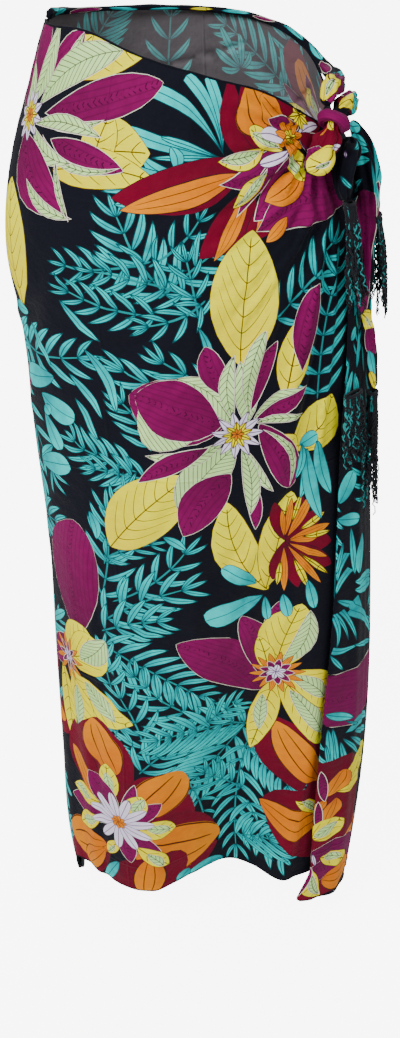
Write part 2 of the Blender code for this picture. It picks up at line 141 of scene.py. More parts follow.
@dataclass(frozen=True)
class Figure:
    """Outline of the dressed figure, which every stretch of cloth follows."""

    roundness: float = 2.25
    # Columns: height, reach to the wearer's right, reach to the left, reach forward, reach back.
    sections: Table = (
        (0.040, 0.121, 0.112, 0.092, 0.081),
        (0.000, 0.136, 0.124, 0.104, 0.094),
        (-0.050, 0.152, 0.138, 0.114, 0.108),
        (-0.100, 0.168, 0.154, 0.121, 0.123),
        (-0.150, 0.179, 0.167, 0.126, 0.134),
        (-0.200, 0.183, 0.176, 0.129, 0.139),
        (-0.280, 0.173, 0.183, 0.130, 0.137),
        (-0.400, 0.168, 0.187, 0.129, 0.127),
        (-0.550, 0.160, 0.195, 0.125, 0.116),
        (-0.700, 0.161, 0.200, 0.120, 0.112),
        (-0.850, 0.161, 0.200, 0.116, 0.113),
        (-1.000, 0.160, 0.195, 0.112, 0.117),
        (-1.100, 0.148, 0.189, 0.110, 0.118),
    )
    girth_height: float = -0.500

    def point(self, angle: Array, height: Array, stand_off: Array) -> Array:
        """Points on the outline, moved out by the stand-off.

        The outline at a height is a superellipse, |x/a|^n + |y/b|^n = 1, whose reaches a and b differ to the
        left and right, front and back. The stand-off is laid along its level normal.
        """
        rows = np.array(self.sections)[::-1]
        right, left, front, back = (smooth(rows[:, 0], rows[:, k], height) for k in range(1, 5))
        turn = np.radians(angle)
        across = np.where(np.cos(turn) >= 0, left, right)
        deep = np.where(np.sin(turn) >= 0, back, front)
        x = np.sign(np.cos(turn)) * np.abs(np.cos(turn)) ** (2 / self.roundness)
        y = np.sign(np.sin(turn)) * np.abs(np.sin(turn)) ** (2 / self.roundness)
        nx = np.sign(x) * np.abs(x) ** (self.roundness - 1) / across
        ny = np.sign(y) * np.abs(y) ** (self.roundness - 1) / deep
        size = np.hypot(nx, ny)
        return np.stack(
            [x * across + nx / size * stand_off, y * deep + ny / size * stand_off, height + 0.0 * turn], -1
        )

    def girth(self) -> tuple[Array, Array]:
        """Angles round the figure, and the metres of cloth from the middle of the front to each."""
        angles = np.linspace(-190.0, 210.0, 2001)
        ring = self.point(angles, np.full_like(angles, self.girth_height), 0.0)
        steps = np.linalg.norm(np.diff(ring, axis=0), axis=1)
        metres = np.concatenate([[0.0], np.cumsum(steps)])
        return angles, metres - np.interp(-90.0, angles, metres)

    def angle_at(self, along: Array) -> Array:
        """Angle round the figure at so many metres along the cloth."""
        angles, metres = self.girth()
        return np.interp(along, metres, angles)

    def along_at(self, angle: Array) -> Array:
        """Metres along the cloth at an angle round the figure."""
        angles, metres = self.girth()
        return np.interp(angle, angles, metres)


FIGURE = Figure()


@dataclass(frozen=True)
class Relief:
    """Folds of a stretch of cloth, as depths outwards from the figure's outline."""

    # Columns: angle at the top, angle at the bottom, half width, depth outwards, height where it starts,
    # height where it is full, height where it ends.
    folds: Table
    # Ridges round the knot. Columns: how many in a full turn, depth, phase, how far from the knot they are full,
    # how far from it they end.
    gathers: Table = ()
    # Columns: angle, height, half angle, half height, depth outwards.
    puffs: Table = ()
    # Columns: angle and height of one end, angle and height of the other, half width, depth outwards.
    pulls: Table = ()
    knot_angle: float = -41.0
    knot_height: float = -0.068
    knot_reach: float = 0.014
    # A fold that ends below this height runs out over the hem.
    runs_out: float = -1.2
    # A pull's width at its first end as a share of its full one, and the shares of its length where it is full
    # and where it starts to fade.
    pull_root: float = 0.45
    pull_full: float = 0.12
    pull_fades: float = 0.45

    def depth(self, angle: Array, height: Array) -> Array:
        """Depth outwards of all the folds, gathers, puffs and pulls at a place."""
        depth = np.zeros(np.broadcast(angle, height).shape)
        for top_angle, hem_angle, half_width, out, start, full, end in self.folds:
            middle = top_angle + (hem_angle - top_angle) * (height - start) / (full - start)
            down = ease(start, full, height)
            if end > self.runs_out:
                down = down * ease(end, full, height)
            depth = depth + out * bell(np.abs(angle - middle) / half_width) * down
        along = (angle - self.knot_angle) * METRES_PER_DEGREE
        up = height - self.knot_height
        reach = np.hypot(along, up)
        turn = np.arctan2(up, along)
        for count, out, phase, near, far in self.gathers:
            shown = ease(self.knot_reach, near, reach) * (1 - ease(near, far, reach))
            depth = depth + out * np.cos(count * turn + phase) * shown
        for puff_angle, puff_height, half_angle, half_height, out in self.puffs:
            spot = np.hypot((angle - puff_angle) / half_angle, (height - puff_height) / half_height)
            depth = depth + out * bell(spot)
        for angle_0, height_0, angle_1, height_1, half_width, out in self.pulls:
            way = np.array([(angle_1 - angle_0) * METRES_PER_DEGREE, height_1 - height_0])
            size = np.linalg.norm(way)
            across = (angle - angle_0) * METRES_PER_DEGREE
            rise = height - height_0
            share = (across * way[0] + rise * way[1]) / size**2
            off = np.abs(across * way[1] - rise * way[0]) / size
            narrow = half_width * (self.pull_root + (1 - self.pull_root) * np.clip(share, 0.0, 1.0))
            depth = depth + (out * bell(off / narrow) * ease(0.0, self.pull_full, share)
                             * (1 - ease(self.pull_fades, 1.0, share)))
        return depth


class Ink(IntEnum):
    """What is printed at a place on the cloth."""

    GROUND = 0
    TURQUOISE = 1
    MAGENTA = 2
    CRIMSON = 3
    PALE = 4
    YELLOW = 5
    ORANGE = 6
    LILAC = 7
    STEM = 8


class Column(IntEnum):
    """Columns of a motif's row."""

    INK = 0
    U0 = 1
    H0 = 2
    U1 = 3
    H1 = 4
    HALF = 5
    BOW = 6
    WIDEST = 7
    POINT = 8
    HOOK = 9


# Width of a frond's stem, and width of its leaflets as a share of their length.
STEM_WIDTH = 0.0022
SLIM = 0.21


@dataclass
class Pattern:
    """Motifs printed on one stretch of flat cloth, in the order in which they are laid over each other."""

    rows: list[tuple[float, ...]] = field(default_factory=list)

    def shape(self, ink: Ink, base: Spot, tip: Spot, width: float, bow: float = 0.0, widest: float = 0.5,
              point: float = 1.5, hook: float = 0.0) -> None:
        """Lay one petal or leaf.

        Args:
            ink: What it is printed in.
            base: Where it starts, as metres along the cloth and height.
            tip: Where it ends.
            width: Its greatest width.
            bow: How far its middle line bows to its left, as a share of its length.
            widest: Share of the length at which it is widest.
            point: How pointed its ends are: 1 is round, 2 is sharp.
            hook: How far its tip turns to its left, as a share of its length.
        """
        self.rows.append((ink, *base, *tip, width / 2, bow, widest, point, hook))

    def petals(self, ink: Ink, centre: Spot, table: Table, start: float = 0.0, **form: float) -> None:
        """Lay petals round a centre. Table columns: direction in degrees, length, width, bow."""
        for turn, length, width, bow in table:
            way = np.array([math.cos(math.radians(turn)), math.sin(math.radians(turn))])
            base = np.array(centre) + way * start
            tip = np.array(centre) + way * length
            self.shape(ink, tuple(base), tuple(tip), width, bow, **form)

    def ring(self, ink: Ink, centre: Spot, count: int, length: float, width: float, first: float,
             **form: float) -> None:
        """Lay a ring of like petals round a centre."""
        turns = first + np.arange(count) * 360.0 / count
        self.petals(ink, centre, [(turn, length, width, 0.0) for turn in turns], **form)

    def frond(self, base: Spot, tip: Spot, leaf: float, pairs: int, bow: float, slant: float) -> None:
        """Lay a fern frond: a bowed stem with pairs of leaflets, longest a third of the way up.

        Args:
            base: Where the stem starts.
            tip: Where it ends.
            leaf: Length of the longest leaflet.
            pairs: How many leaflets each side has.
            bow: How far the stem bows to its left, as a share of its length.
            slant: Angle between the stem and its leaflets.
        """
        start = np.array(base)
        way = np.array(tip) - start
        aside = np.array([-way[1], way[0]])
        self.shape(Ink.STEM, base, tip, STEM_WIDTH, bow, 0.3, 0.5)
        share = (np.arange(pairs) + 0.35) / pairs
        foot = start + share[:, None] * way + (4 * bow * share * (1 - share))[:, None] * aside
        lean = way + (4 * bow * (1 - 2 * share))[:, None] * aside
        turn = np.degrees(np.arctan2(lean[:, 1], lean[:, 0]))
        size = leaf * (0.55 + 0.45 * np.sin(np.pi * (0.25 + 0.75 * share)))
        for side in (1, -1):
            angle = np.radians(turn + side * slant * (1.15 - 0.5 * share))
            end = foot + size[:, None] * np.stack([np.cos(angle), np.sin(angle)], -1)
            for k in range(pairs):
                self.shape(Ink.TURQUOISE, tuple(foot[k]), tuple(end[k]), size[k] * SLIM, side * 0.07, 0.45, 1.5)
        self.shape(Ink.TURQUOISE, tuple(foot[-1]), tuple(start + 1.12 * way), size[-1] * SLIM, 0.0, 0.45, 1.5)

    def table(self) -> Array:
        """All rows as one array."""
        return np.array(self.rows, float).reshape(-1, len(Column))


def half_width(motifs: Array, share: Array) -> Array:
    """Half width of each motif at a share of its length.

    It is W (s/m)^(k m) ((1-s)/(1-m))^(k (1-m)), which is W at the widest place m and nothing at both ends.
    """
    widest = motifs[..., Column.WIDEST]
    point = motifs[..., Column.POINT]
    share = np.clip(share, 0.0, 1.0)
    rise = (share / widest) ** (point * widest)
    fall = ((1 - share) / (1 - widest)) ** (point * (1 - widest))
    return motifs[..., Column.HALF] * rise * fall


def outlines(motifs: Array, steps: int) -> Array:
    """Outline of each motif on the flat cloth, as an array of motifs by points by 2."""
    share = 0.5 - 0.5 * np.cos(np.linspace(0.0, np.pi, steps))
    base = motifs[:, [Column.U0, Column.H0]][:, None]
    way = motifs[:, [Column.U1, Column.H1]][:, None] - base
    length = np.linalg.norm(way, axis=-1, keepdims=True)
    aside = np.stack([-way[..., 1], way[..., 0]], -1) / length
    wide = half_width(motifs[:, None], share[None])[..., None]
    bow = (motifs[:, Column.BOW, None] * 4 * share * (1 - share) + motifs[:, Column.HOOK, None] * share**3)
    bow = bow[..., None] * length
    axis = base + way * share[None, :, None] + aside * bow
    left = axis + aside * wide
    right = axis - aside * wide
    return np.concatenate([right, left[:, -2:0:-1]], axis=1)


def local_place(motifs: Array, flat: Array) -> Array:
    """Place of flat points within their motifs: metres along, metres aside, half width there, length."""
    base = motifs[..., [Column.U0, Column.H0]]
    way = motifs[..., [Column.U1, Column.H1]] - base
    length = np.linalg.norm(way, axis=-1)
    reach = flat - base
    share = (reach * way).sum(-1) / length**2
    aside = (reach[..., 1] * way[..., 0] - reach[..., 0] * way[..., 1]) / length
    aside = aside - (motifs[..., Column.BOW] * 4 * share * (1 - share) + motifs[..., Column.HOOK] * share**3) * length
    parts = np.broadcast_arrays(share * length, aside, half_width(motifs, share), length)
    return np.stack(parts, -1)


def cut_flat(border: Array, loose: Array, motifs: Array, steps: int) -> tuple[Array, Array, Array]:
    """Cut flat cloth into triangles along its border and along every motif's outline.

    Args:
        border: Outline of the cloth.
        loose: Points inside it that carry its folds.
        motifs: Rows of the pattern.
        steps: Points along one side of a motif's outline.

    Returns:
        Flat points, triangles, and for each triangle the motif on top, or -1 for the bare ground.
    """
    rings = outlines(motifs, steps)
    count, ring_size = rings.shape[:2]
    points = np.concatenate([border, loose, rings.reshape(-1, 2)])
    first = len(border) + len(loose)
    faces = [list(range(len(border)))]
    faces += (np.arange(count * ring_size).reshape(count, ring_size) + first).tolist()
    found = delaunay_2d_cdt([Vector(p) for p in points.tolist()], [], faces, 0, 1e-6, True)
    flat = np.array([tuple(p) for p in found[0]])
    triangles = np.array(found[2])
    owners = found[5]
    sizes = np.array(list(map(len, owners)))
    kept = np.flatnonzero(sizes)
    ids = np.fromiter(chain.from_iterable(owners), int)
    starts = np.concatenate([[0], np.cumsum(sizes[kept])[:-1]])
    inside = np.minimum.reduceat(ids, starts) == 0
    top = np.maximum.reduceat(ids, starts) - 1
    triangles = triangles[kept][inside]
    top = top[inside]
    corners = flat[triangles]
    one, two = corners[:, 1] - corners[:, 0], corners[:, 2] - corners[:, 0]
    area = one[:, 0] * two[:, 1] - one[:, 1] * two[:, 0]
    triangles[area < 0] = triangles[area < 0][:, ::-1]
    solid = np.abs(area) > 1e-10
    used, packed = np.unique(triangles[solid], return_inverse=True)
    return flat[used], packed.reshape(-1, 3), top[solid]


def surface_normals(surface: Surface, flat: Array, step: float = 0.0005) -> Array:
    """Unit normals of a surface, from its slopes along both of its parameters."""
    u, v = flat[:, 0], flat[:, 1]
    along = surface(u + step, v) - surface(u - step, v)
    up = surface(u, v + step) - surface(u, v - step)
    normals = np.cross(along, up)
    return normals / np.maximum(np.linalg.norm(normals, axis=1, keepdims=True), 1e-12)


def weld(points: Array, triangles: Array, values: Array, near: float = 2e-5) -> tuple[Array, Array, Array, Array]:
    """Join points that lie on each other, and drop triangles that this closes up.

    Returns:
        The joined points, their values, the triangles that stay, and which triangles those are.
    """
    _, first, joined = np.unique(np.round(points / near), axis=0, return_index=True, return_inverse=True)
    new = joined.reshape(-1)[triangles]
    kept = (new[:, 0] != new[:, 1]) & (new[:, 1] != new[:, 2]) & (new[:, 2] != new[:, 0])
    return points[first], values[first], new[kept], np.flatnonzero(kept)


@dataclass
class Shell:
    """Printed cloth, cut on the flat and carried onto a surface, as a mesh."""

    name: str
    border: Array
    surface: Surface
    pattern: Pattern
    spacing: float = 0.006
    thickness: float = 0.0009
    steps: int = 11
    closed: bool = False
    extra: Array | None = None

    def loose_points(self) -> Array:
        """A staggered grid of points over the border's box, with the extra points."""
        low, high = self.border.min(0), self.border.max(0)
        columns = np.arange(low[0] + self.spacing / 2, high[0], self.spacing)
        rows = np.arange(low[1] + self.spacing / 2, high[1], self.spacing)
        u, v = np.meshgrid(columns, rows)
        u[1::2] += self.spacing / 2
        grid = np.stack([u, v], -1).reshape(-1, 2)
        grid = grid[grid[:, 0] < high[0] - self.spacing / 4]
        return grid if self.extra is None else np.concatenate([grid, self.extra])

    def build(self, coats: Coats) -> bpy.types.Object:
        """Make the mesh object.

        Args:
            coats: One material for each ink, then one for each ink's reverse side.
        """
        motifs = self.pattern.table()
        flat, triangles, top = cut_flat(self.border, self.loose_points(), motifs, self.steps)
        points = self.surface(flat[:, 0], flat[:, 1])
        normals = surface_normals(self.surface, flat)
        corner_flat = flat[triangles]
        own = motifs[np.maximum(top, 0)] if len(motifs) else np.full((len(top), len(Column)), 0.5)
        ink = np.where(top >= 0, own[:, Column.INK], Ink.GROUND).astype(int)
        place = local_place(own[:, None], corner_flat)
        bare = np.concatenate([corner_flat, np.full_like(corner_flat, 0.01)], -1)
        place = np.where((top >= 0)[:, None, None], place, bare)
        if self.closed:
            points, normals, triangles, kept = weld(points, triangles, normals)
            ink, place, corner_flat = ink[kept], place[kept], corner_flat[kept]
            return self.solid(points, normals, triangles, ink, place, corner_flat, coats)
        return self.walled(points, normals, triangles, ink, place, corner_flat, coats)

    def solid(self, points: Array, normals: Array, triangles: Array, ink: Array, place: Array,
              corner_flat: Array, coats: Coats) -> bpy.types.Object:
        """Make a closed form of bunched cloth, printed all over its outside."""
        low, high = self.border.min(0), self.border.max(0)
        bake = mapped((corner_flat - low) / (high - low))
        layers = {"OFBake": bake, "Cloth": corner_flat, "Motif": place[..., :2], "Size": place[..., 2:]}
        return make_mesh(self.name, points, triangles.tolist(), normals, ink, layers, coats)

    def walled(self, points: Array, normals: Array, triangles: Array, ink: Array, place: Array,
               corner_flat: Array, coats: Coats) -> bpy.types.Object:
        """Make a thin closed wall: the outside, the inside behind it and the rim between them."""
        count = len(points)
        inner = triangles[:, ::-1] + count
        sides = np.concatenate([triangles[:, [0, 1]], triangles[:, [1, 2]], triangles[:, [2, 0]]])
        _, where, met = np.unique(np.sort(sides, axis=1), axis=0, return_index=True, return_counts=True)
        rim = sides[where[met == 1]]
        quads = np.column_stack([rim[:, 1], rim[:, 0], rim[:, 0] + count, rim[:, 1] + count])
        low, high = self.border.min(0), self.border.max(0)
        share = (corner_flat - low) / (high - low)
        # The outside fills the flat map's left half, the inside its right half and the rim a strip above both.
        outside = share * (0.485, 0.96) + (0.005, 0.005)
        inside = share[:, ::-1] * (0.485, 0.96) + (0.510, 0.005)
        cell = np.arange(len(quads))[:, None] / max(len(quads), 1)
        width = 0.8 / max(len(quads), 1)
        strip = np.stack([
            mapped(cell) + width * np.array([[0, 1, 1, 0]]),
            np.broadcast_to(np.array([[0.985, 0.985, 0.995, 0.995]]), (len(quads), 4)),
        ], -1)
        rim_flat = np.zeros((len(quads), 4, 2))

        def all_corners(outer: Array, inner_part: Array, rim_part: Array) -> Array:
            """Corner values of the three parts in the order of their faces."""
            return np.concatenate([outer.reshape(-1, 2), inner_part.reshape(-1, 2), rim_part.reshape(-1, 2)])

        layers = {
            "OFBake": all_corners(outside, inside, strip),
            "Cloth": all_corners(corner_flat, corner_flat[:, ::-1], rim_flat),
            "Motif": all_corners(place[..., :2], place[:, ::-1, :2], rim_flat),
            "Size": all_corners(place[..., 2:], place[:, ::-1, 2:], rim_flat + 0.01),
        }
        inks = len(Ink)
        slots = np.concatenate([ink, ink + inks, np.full(len(quads), int(Ink.GROUND))])
        both = np.concatenate([points, points - normals * self.thickness])
        directions = np.concatenate([normals, -normals])
        faces = triangles.tolist() + inner.tolist() + quads.tolist()
        return make_mesh(self.name, both, faces, directions, slots, layers, coats)


def make_mesh(name: str, points: Array, faces: list, normals: Array | None, slots: Array | None,
              layers: dict[str, Array], coats: Coats) -> bpy.types.Object:
    """Make a mesh object from whole arrays.

    Args:
        name: Name of the piece.
        points: Its points.
        faces: Point numbers of each face.
        normals: Direction of each point, or None for Blender's own.
        slots: Number of the material on each face, or None where there is one.
        layers: Named UV maps, each with two values for each corner.
        coats: The materials.

    Returns:
        The object, at the origin.
    """
    mesh = bpy.data.meshes.new(name)
    mesh.from_pydata(points.tolist(), [], faces)
    mesh.polygons.foreach_set("use_smooth", np.ones(len(mesh.polygons), bool))
    for coat in coats:
        mesh.materials.append(coat)
    if slots is not None:
        mesh.polygons.foreach_set("material_index", np.asarray(slots, np.int32))
    for layer_name, values in layers.items():
        layer = mesh.uv_layers.new(name=layer_name)
        layer.uv.foreach_set("vector", np.asarray(values, np.float32).reshape(-1))
    if normals is not None:
        mesh.normals_split_custom_set_from_vertices(normals.tolist())
    mesh.update()
    obj = bpy.data.objects.new(name, mesh)
    bpy.context.scene.collection.objects.link(obj)
    return obj


class Nodes:
    """Short-hand for the node tree of one material."""

    def __init__(self, name: str) -> None:
        self.material = bpy.data.materials.new(name)
        self.material.use_nodes = True
        self.tree = self.material.node_tree
        self.shader = self.tree.nodes["Principled BSDF"]

    def put(self, socket: Socket, value: object) -> None:
        """Link a socket, or set its value."""
        if isinstance(value, Socket):
            self.tree.links.new(value, socket)
        elif isinstance(value, tuple) and len(value) == 3 and socket.type == "RGBA":
            socket.default_value = (*value, 1.0)
        else:
            socket.default_value = value

    def give(self, name: str, value: object) -> None:
        """Link or set one of the shader's inputs."""
        self.put(self.shader.inputs[name], value)

    def math(self, operation: str, *values: object) -> Socket:
        """A Math node."""
        node = self.tree.nodes.new("ShaderNodeMath")
        node.operation = operation
        for socket, value in zip(node.inputs, values):
            self.put(socket, value)
        return node.outputs[0]

    def times(self, one: object, two: object) -> Socket:
        """A product."""
        return self.math("MULTIPLY", one, two)

    def mix(self, share: object, one: object, two: object) -> Socket:
        """A colour between two, nearer the second as the share grows."""
        node = self.tree.nodes.new("ShaderNodeMix")
        node.data_type = "RGBA"
        self.put(node.inputs[0], share)
        self.put(node.inputs[6], one)
        self.put(node.inputs[7], two)
        return node.outputs[2]

    def fall(self, value: object, start: float, end: float) -> Socket:
        """1 up to the start, then down to 0 at the end."""
        node = self.tree.nodes.new("ShaderNodeMapRange")
        self.put(node.inputs["Value"], value)
        node.inputs["From Min"].default_value = start
        node.inputs["From Max"].default_value = end
        node.inputs["To Min"].default_value = 1.0
        node.inputs["To Max"].default_value = 0.0
        return node.outputs["Result"]

    def uv(self, name: str) -> Socket:
        """A UV map's vector."""
        node = self.tree.nodes.new("ShaderNodeUVMap")
        node.uv_map = name
        return node.outputs[0]

    def split(self, vector: Socket) -> tuple[Socket, Socket]:
        """The first two parts of a vector."""
        node = self.tree.nodes.new("ShaderNodeSeparateXYZ")
        self.put(node.inputs[0], vector)
        return node.outputs[0], node.outputs[1]

    def noise(self, vector: Socket, scale: float, detail: float = 2.0) -> Socket:
        """A Noise Texture's value."""
        node = self.tree.nodes.new("ShaderNodeTexNoise")
        self.put(node.inputs["Vector"], vector)
        node.inputs["Scale"].default_value = scale
        node.inputs["Detail"].default_value = detail
        return node.outputs["Fac"]

    def stretch(self, vector: Socket, scale: Place) -> Socket:
        """A vector scaled by a different amount along each axis."""
        node = self.tree.nodes.new("ShaderNodeMapping")
        self.put(node.inputs["Vector"], vector)
        node.inputs["Scale"].default_value = scale
        return node.outputs[0]

    def brighten(self, colour: Socket, shade: object) -> Socket:
        """A colour made lighter or darker by a factor."""
        node = self.tree.nodes.new("ShaderNodeVectorMath")
        node.operation = "SCALE"
        self.put(node.inputs[0], colour)
        self.put(node.inputs["Scale"], shade)
        return node.outputs[0]

    def bump(self, height: object, distance: float, under: object = None) -> Socket:
        """A Bump node's normal."""
        node = self.tree.nodes.new("ShaderNodeBump")
        node.inputs["Strength"].default_value = 1.0
        node.inputs["Distance"].default_value = distance
        self.put(node.inputs["Height"], height)
        if under is not None:
            self.put(node.inputs["Normal"], under)
        return node.outputs[0]


class Veins(IntEnum):
    """How a motif is lined inside its outline."""

    BARE = -1
    NONE = 0
    MIDRIB = 1
    STRIPES = 2
    BRANCHES = 3
    LONG = 4
    FEATHER = 5


@dataclass(frozen=True)
class Rayon:
    """The soft plain-woven cloth under the print. Lengths are metres."""

    thread: float = 0.0009
    weave_depth: float = 0.00005
    weave_shade: float = 0.05
    slub_shade: float = 0.20
    roughness: float = 0.58
    slub_roughness: float = 0.22
    specular: float = 0.09
    sheen: float = 0.03
    sheen_roughness: float = 0.45
    crease_scale: float = 38.0
    crease_depth: float = 0.0032
    # Ridges where the cloth was folded flat for storage: how far apart, where the first ones are, size.
    pressed_every: float = 0.142
    pressed_up: float = 0.124
    pressed_across: float = 0.078
    pressed_half: float = 0.0022
    pressed_depth: float = 0.0006
    # The reverse: the print shows through a pale wash.
    wash: Colour = (0.30, 0.27, 0.29)
    wash_share: float = 0.42


RAYON = Rayon()


@dataclass(frozen=True)
class PrintInk:
    """One ink of the print, with its outline and veins, on soft rayon."""

    name: str
    colour: Colour
    deep: Colour
    vein: Colour
    rim: Colour
    rim_width: float = 0.0006
    line_width: float = 0.0
    veins: Veins = Veins.NONE

    def coat(self, reverse: bool) -> bpy.types.Material:
        """Make the material of the printed side, or the paler one of the cloth's reverse."""
        n = Nodes(self.name + ("_reverse" if reverse else ""))
        cloth = n.uv("Cloth")
        along, aside = n.split(n.uv("Motif"))
        half, length = n.split(n.uv("Size"))
        off = n.math("ABSOLUTE", aside)
        to_edge = n.math("SUBTRACT", half, off)
        share = n.math("DIVIDE", along, length)
        patch = n.noise(cloth, 90.0, 3.0)
        tone = n.times(n.fall(share, 0.1, 0.9), 0.75)
        tone = n.math("ADD", tone, n.times(n.math("SUBTRACT", patch, 0.5), 0.9))
        colour = n.mix(n.math("MINIMUM", n.math("MAXIMUM", tone, 0.0), 1.0), self.colour, self.deep)
        lines = self.lines(n, along, aside, off, half, share)
        if lines is not None:
            colour = n.mix(lines, colour, self.vein)
        if self.veins != Veins.BARE:
            if self.line_width:
                line = self.rim_width + self.line_width
                colour = n.mix(n.fall(to_edge, line, line + SOFT_EDGE), colour, OUTLINE)
            if self.rim_width:
                colour = n.mix(n.fall(to_edge, self.rim_width, self.rim_width + SOFT_EDGE), colour, self.rim)
        if reverse:
            colour = n.mix(RAYON.wash_share, colour, RAYON.wash)
        across, up = n.split(cloth)
        warp = n.math("SINE", n.times(across, 2 * math.pi / RAYON.thread))
        weft = n.math("SINE", n.times(up, 2 * math.pi / RAYON.thread))
        weave = n.times(warp, weft)
        slub = n.noise(n.stretch(cloth, (60.0, 900.0, 1.0)), 1.0, 2.0)
        shade = n.math("ADD", 0.90, n.times(slub, RAYON.slub_shade))
        shade = n.math("ADD", shade, n.times(weave, RAYON.weave_shade))
        colour = n.brighten(colour, shade)
        n.give("Base Color", colour)
        roughness = n.math("ADD", RAYON.roughness, n.times(slub, RAYON.slub_roughness))
        n.give("Roughness", roughness)
        n.give("Specular IOR Level", RAYON.specular)
        n.give("Sheen Weight", RAYON.sheen)
        n.give("Sheen Roughness", RAYON.sheen_roughness)
        creased = n.bump(n.noise(cloth, RAYON.crease_scale, 3.0), RAYON.crease_depth)
        creased = n.bump(self.pressed(n, across, up), RAYON.pressed_depth, creased)
        n.give("Normal", n.bump(weave, RAYON.weave_depth, creased))
        return n.material

    def pressed(self, n: Nodes, across: object, up: object) -> object:
        """Low ridges where the cloth was folded flat for storage."""
        level = n.math("PINGPONG", n.math("ADD", up, RAYON.pressed_up), RAYON.pressed_every)
        plumb = n.math("PINGPONG", n.math("ADD", across, RAYON.pressed_across), RAYON.pressed_every)
        return n.math("ADD", n.fall(level, 0.0, RAYON.pressed_half), n.fall(plumb, 0.0, RAYON.pressed_half))

    def lines(self, n: Nodes, along: object, aside: object, off: object, half: object, share: object) -> object:
        """Where the motif's inner lines are: 1 on a line, 0 off it.

        In each kind, bands are half the distance between two lines, and falls are where a line's edge fades.
        """
        if self.veins in (Veins.BARE, Veins.NONE):
            return None
        if self.veins == Veins.LONG:
            across = n.math("DIVIDE", aside, half)
            bands = n.math("PINGPONG", n.math("ADD", n.times(across, 1.6), 0.5), 0.5)
            return n.times(n.fall(bands, 0.035, 0.060), n.fall(share, 0.86, 0.90))
        if self.veins == Veins.STRIPES:
            chevron = n.math("ADD", along, n.times(off, 1.3))
            bands = n.math("PINGPONG", chevron, 0.0036)
            rib = n.fall(off, 0.00025, 0.00045)
            return n.math("MAXIMUM", n.fall(bands, 0.00035, 0.00060), rib)
        if self.veins == Veins.BRANCHES:
            wave = n.times(n.math("POWER", off, 1.5), 9.0)
            chevron = n.math("SUBTRACT", along, wave)
            bands = n.math("PINGPONG", chevron, 0.0085)
            branch = n.fall(bands, 0.0004, 0.0007)
            kept = n.fall(n.math("DIVIDE", off, half), 0.72, 0.80)
            rib = n.times(n.fall(off, 0.0004, 0.0007), n.fall(share, 0.92, 0.94))
            return n.math("MAXIMUM", n.times(branch, kept), rib)
        if self.veins == Veins.FEATHER:
            chevron = n.math("SUBTRACT", along, n.times(off, 0.9))
            bands = n.math("PINGPONG", chevron, 0.0030)
            branch = n.times(n.fall(bands, 0.0003, 0.0012), n.fall(off, 0.003, 0.005))
            broken = n.math("GREATER_THAN", n.noise(n.uv("Cloth"), 260.0, 1.0), 0.50)
            streak = n.math("PINGPONG", n.math("ADD", off, n.times(share, 0.003)), 0.0030)
            faint = n.times(n.fall(streak, 0.0002, 0.0010), 0.35)
            return n.math("MAXIMUM", n.times(n.times(branch, broken), 0.9), faint)
        return n.fall(off, 0.0003, 0.0006)


OUTLINE = (0.010, 0.006, 0.014)
CREAM = (0.86, 0.80, 0.66)
# How far the edge of a printed line takes to fade.
SOFT_EDGE = 0.0002

INKS = (
    PrintInk("ground", (0.0030, 0.0034, 0.0085), (0.0044, 0.0048, 0.011), (0.02, 0.02, 0.03), (0.01, 0.01, 0.01),
             veins=Veins.BARE),
    PrintInk("turquoise", (0.006, 0.70, 0.68), (0.001, 0.24, 0.28), (0.001, 0.10, 0.12), (0.001, 0.05, 0.065),
             rim_width=0.0007, veins=Veins.MIDRIB),
    PrintInk("magenta", (0.215, 0.0, 0.088), (0.110, 0.0, 0.045), (0.045, 0.0, 0.024), CREAM,
             rim_width=0.0006, line_width=0.0005, veins=Veins.FEATHER),
    PrintInk("crimson", (0.175, 0.0, 0.018), (0.105, 0.0, 0.013), (0.04, 0.0, 0.01), OUTLINE,
             rim_width=0.0006, veins=Veins.NONE),
    PrintInk("pale_green", (0.62, 0.92, 0.36), (0.46, 0.74, 0.25), (0.020, 0.035, 0.015), CREAM,
             rim_width=0.0006, line_width=0.0004, veins=Veins.STRIPES),
    PrintInk("yellow", (0.98, 0.90, 0.0), (0.84, 0.68, 0.0), (0.075, 0.028, 0.002), (0.10, 0.035, 0.002),
             rim_width=0.0007, veins=Veins.BRANCHES),
    PrintInk("orange", (0.82, 0.25, 0.0), (0.66, 0.14, 0.0), (0.060, 0.010, 0.002), OUTLINE,
             rim_width=0.0006, veins=Veins.LONG),
    PrintInk("lilac", (0.84, 0.78, 0.94), (0.70, 0.58, 0.84), (0.12, 0.04, 0.16), (0.05, 0.01, 0.07),
             rim_width=0.0005, veins=Veins.MIDRIB),
    PrintInk("stem", (0.004, 0.30, 0.30), (0.002, 0.20, 0.22), (0.01, 0.1, 0.1), (0.01, 0.1, 0.1),
             rim_width=0.0, veins=Veins.NONE),
)


# In the text tables of the print, sizes are millimetres, directions degrees, and bows, widest places and
# points hundredths. One letter names each ink. A row that ends early ends as the table's last numbers say.
INK_LETTERS = {"T": Ink.TURQUOISE, "M": Ink.MAGENTA, "R": Ink.CRIMSON, "P": Ink.PALE, "Y": Ink.YELLOW,
               "O": Ink.ORANGE, "L": Ink.LILAC}

